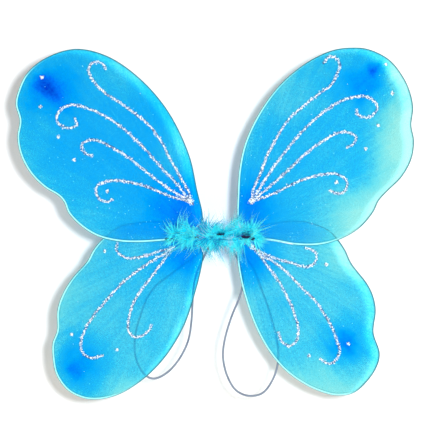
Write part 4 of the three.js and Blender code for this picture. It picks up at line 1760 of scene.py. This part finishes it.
@dataclass
class Studio:
    """A pale wall behind the wings, a lamp beside the camera and soft light all round."""

    view_x: float = -0.00855
    view_z: float = 0.0268
    distance: float = 1.3461
    wing_y: float = -0.010
    wall_y: float = 0.078
    floor_z: float = -0.30
    stage_reach: float = 5.0
    fill: float = 0.46
    warmth: Colour = (1, 0.875, 0.72, 1)
    paleness: Colour = (0.30, 0.37, 0.44, 1)
    backdrop: Colour = (0.86, 0.87, 0.88, 1)
    lamp_power: float = 16.5
    lamp_size: float = 0.12
    lamp_place: Point = (0.16, 0.06)  # right of and above the camera

    def place_camera(self) -> None:
        """Look straight at the front through a long lens."""
        camera = bpy.data.cameras.new("front_camera")
        camera.lens, camera.sensor_width = 100.0, 36.0
        stand = bpy.data.objects.new("front_camera", camera)
        stand.location = (self.view_x, self.wing_y - self.distance, self.view_z)
        stand.rotation_euler = (math.pi / 2, 0, 0)
        bpy.context.scene.collection.objects.link(stand)
        bpy.context.scene.camera = stand

    def paper_material(self, name: str, glow: float) -> Material:
        """Matt white paper, clear from behind so that the wearer's side can be seen too.

        Args:
            name: Name of the material.
            glow: How much paler it looks than the room makes it, without lighting the wings.

        Returns:
            The material.
        """
        sheet = NodeSheet(name)
        seen = sheet.add("ShaderNodeLightPath").outputs["Is Camera Ray"]
        fibre = sheet.noise(1.5, 3)
        colour = sheet.ramp(fibre, ((0.3, (0.93, 0.93, 0.925, 1)), (0.7, (0.95, 0.95, 0.95, 1))))
        paper = sheet.principled(
            Base_Color=colour, Roughness=0.95, Specular_IOR_Level=0.1, Normal=sheet.bump(fibre, 0.02),
            Emission_Color=self.paleness, Emission_Strength=sheet.math("MULTIPLY", seen, glow),
        )
        behind = sheet.add("ShaderNodeNewGeometry").outputs["Backfacing"]
        return sheet.finish(sheet.blend(behind, paper, sheet.clear((1, 1, 1, 1))))

    def build_stage(self) -> None:
        """Set up the wall and the floor."""
        papers = {"wall": ("white_paper", 0.0), "floor": ("pale_floor", 1.0)}
        turns = {
            "wall": Matrix.Translation((0, self.wall_y, 0)) @ Matrix.Rotation(math.pi / 2, 4, "X"),
            "floor": Matrix.Translation((0, self.stage_reach - self.distance, self.floor_z)),
        }
        for name, place in turns.items():
            bm = bmesh.new()
            bmesh.ops.create_grid(bm, x_segments=2, y_segments=2, size=self.stage_reach, matrix=place)
            mesh = bpy.data.meshes.new(name)
            bm.to_mesh(mesh)
            bm.free()
            mesh.materials.append(self.paper_material(*papers[name]))
            ground = bpy.data.objects.new(name, mesh)
            bpy.context.scene.collection.objects.link(ground)

    def light(self) -> None:
        """Hang the lamp just right of and above the camera, and fill the room with white."""
        lamp = bpy.data.lights.new("lamp", "AREA")
        lamp.shape, lamp.size, lamp.energy = "DISK", self.lamp_size, self.lamp_power
        hanger = bpy.data.objects.new("lamp", lamp)
        right, above = self.lamp_place
        hanger.location = (self.view_x + right, self.wing_y - self.distance, self.view_z + above)
        aim = Vector((0, self.wing_y, 0)) - hanger.location
        hanger.rotation_euler = aim.to_track_quat("-Z", "Y").to_euler()
        bpy.context.scene.collection.objects.link(hanger)
        world = bpy.data.worlds.new("white_room")
        world.use_nodes = True
        nodes, links = world.node_tree.nodes, world.node_tree.links
        room, backdrop = nodes["Background"], nodes.new("ShaderNodeBackground")
        room.inputs["Color"].default_value, room.inputs["Strength"].default_value = self.warmth, self.fill
        backdrop.inputs["Color"].default_value = self.backdrop
        choice, path = nodes.new("ShaderNodeMixShader"), nodes.new("ShaderNodeLightPath")
        links.new(path.outputs["Is Camera Ray"], choice.inputs[0])
        links.new(room.outputs[0], choice.inputs[1])
        links.new(backdrop.outputs[0], choice.inputs[2])
        links.new(choice.outputs[0], nodes["World Output"].inputs["Surface"])
        scene = bpy.context.scene
        scene.world = world
        scene.view_settings.view_transform = "Standard"
        scene.cycles.transparent_max_bounces = 32


# ---------------------------------------------------------------- making it all


CLEAR_FOIL = FlakeFinish(
    "silver_glitter",
    (
        # white is a painted glint; the near-black tones from 0.76 on paint shade and dark reflections of
        # flakes turned from the light
        (0.0, (1.0, 1.0, 1.0, 1)),
        (0.40, (0.68, 0.93, 1.0, 1)),
        (0.56, (0.76, 0.86, 0.94, 1)),
        (0.66, (0.16, 0.50, 0.86, 1)),
        (0.76, (0.01, 0.05, 0.16, 1)),
        (0.90, (0.10, 0.07, 0.09, 1)),
        (1.0, (0.10, 0.07, 0.09, 1)),
    ),
)
LOOSE_FOIL = FlakeFinish(
    "cyan_glitter",
    (
        (0.0, (0.10, 0.75, 1.0, 1)),
        (0.6, (0.35, 0.95, 1.0, 1)),
        (0.9, (0.85, 0.97, 1.0, 1)),
        (1.0, (0.85, 0.97, 1.0, 1)),
    ),
)


def build_wings() -> None:
    """Build the four wings, each with its own dye and glitter."""
    nylon = NylonFinish()
    coating = HardFinish("white_coated_wire", srgb(205, 214, 218), srgb(238, 242, 244), 0.35).material()
    bunched = WovenFinish(
        "bunched_nylon", srgb(0, 60, 180), srgb(10, 132, 240), 0.5, 0.12, 0.55, 0.2
    ).material()
    thread = WovenFinish("blue_thread", srgb(8, 70, 160), srgb(30, 128, 215), 0.3, 0.08).material()
    glue = HardFinish(
        "clear_glitter_glue", srgb(18, 92, 190), srgb(90, 165, 225), 0.22, 0.0, 1.2, 0.25, 0.45
    ).material()
    foil, loose = CLEAR_FOIL.material(), LOOSE_FOIL.material()
    for plan in WING_PLANS:
        wing = Wing(plan)
        wing.build_wire(coating)
        wing.build_cover(nylon.material(plan))
        wing.build_gather(bunched)
        wing.build_tie(thread)
        wing.build_tail(bunched)
        glitter = Glitter(wing)
        glitter.build_lines(glue, foil)
        glitter.build_dots(glue, foil)
        glitter.build_strays(loose)


def build_middle() -> None:
    """Build the taped middle, its glue and the marabou trim."""
    tape = WovenFinish("blue_cloth_tape", srgb(14, 98, 176), srgb(52, 160, 226), 0.45, 0.1, 0.6).material()
    binding = Binding()
    binding.build_block(tape)
    for side in Side:
        binding.build_bobbin(side, tape)
    glue = HardFinish("hot_glue", srgb(205, 196, 160), srgb(240, 234, 212), 0.3, 0.0, 4.0, 0.4)
    binding.build_glue(glue.material())
    steel = HardFinish("bare_steel_wire", srgb(120, 124, 128), srgb(196, 200, 204), 0.32, 1.0, 2.0, 0.05)
    binding.dress_twist(steel.material())
    # the core cord is real; its near-black navy, seen where the down parts, is painted shade in those gaps
    cord = WovenFinish("navy_cord_painted_shade", srgb(2, 4, 40), srgb(14, 24, 92), 0.35, 0.1, 0.8, 0.1).material()
    down = DownFinish().material()
    for section in DOWN_SECTIONS:
        marabou = Marabou(section)
        marabou.build_cord(cord)
        marabou.build_down(down)


def main() -> None:
    """Build the wings from their camera and elastics to their feathers."""
    logging.basicConfig(level=logging.INFO, format="%(message)s")
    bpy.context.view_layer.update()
    studio = Studio()
    studio.place_camera()
    braid = BraidFinish().material()
    for side in Side:
        loop = ArmLoop(side)
        loop.build_elastic(braid)
        loop.build_knot(braid)
    build_wings()
    build_middle()
    studio.build_stage()
    studio.light()


if __name__ == "__main__":
    main()
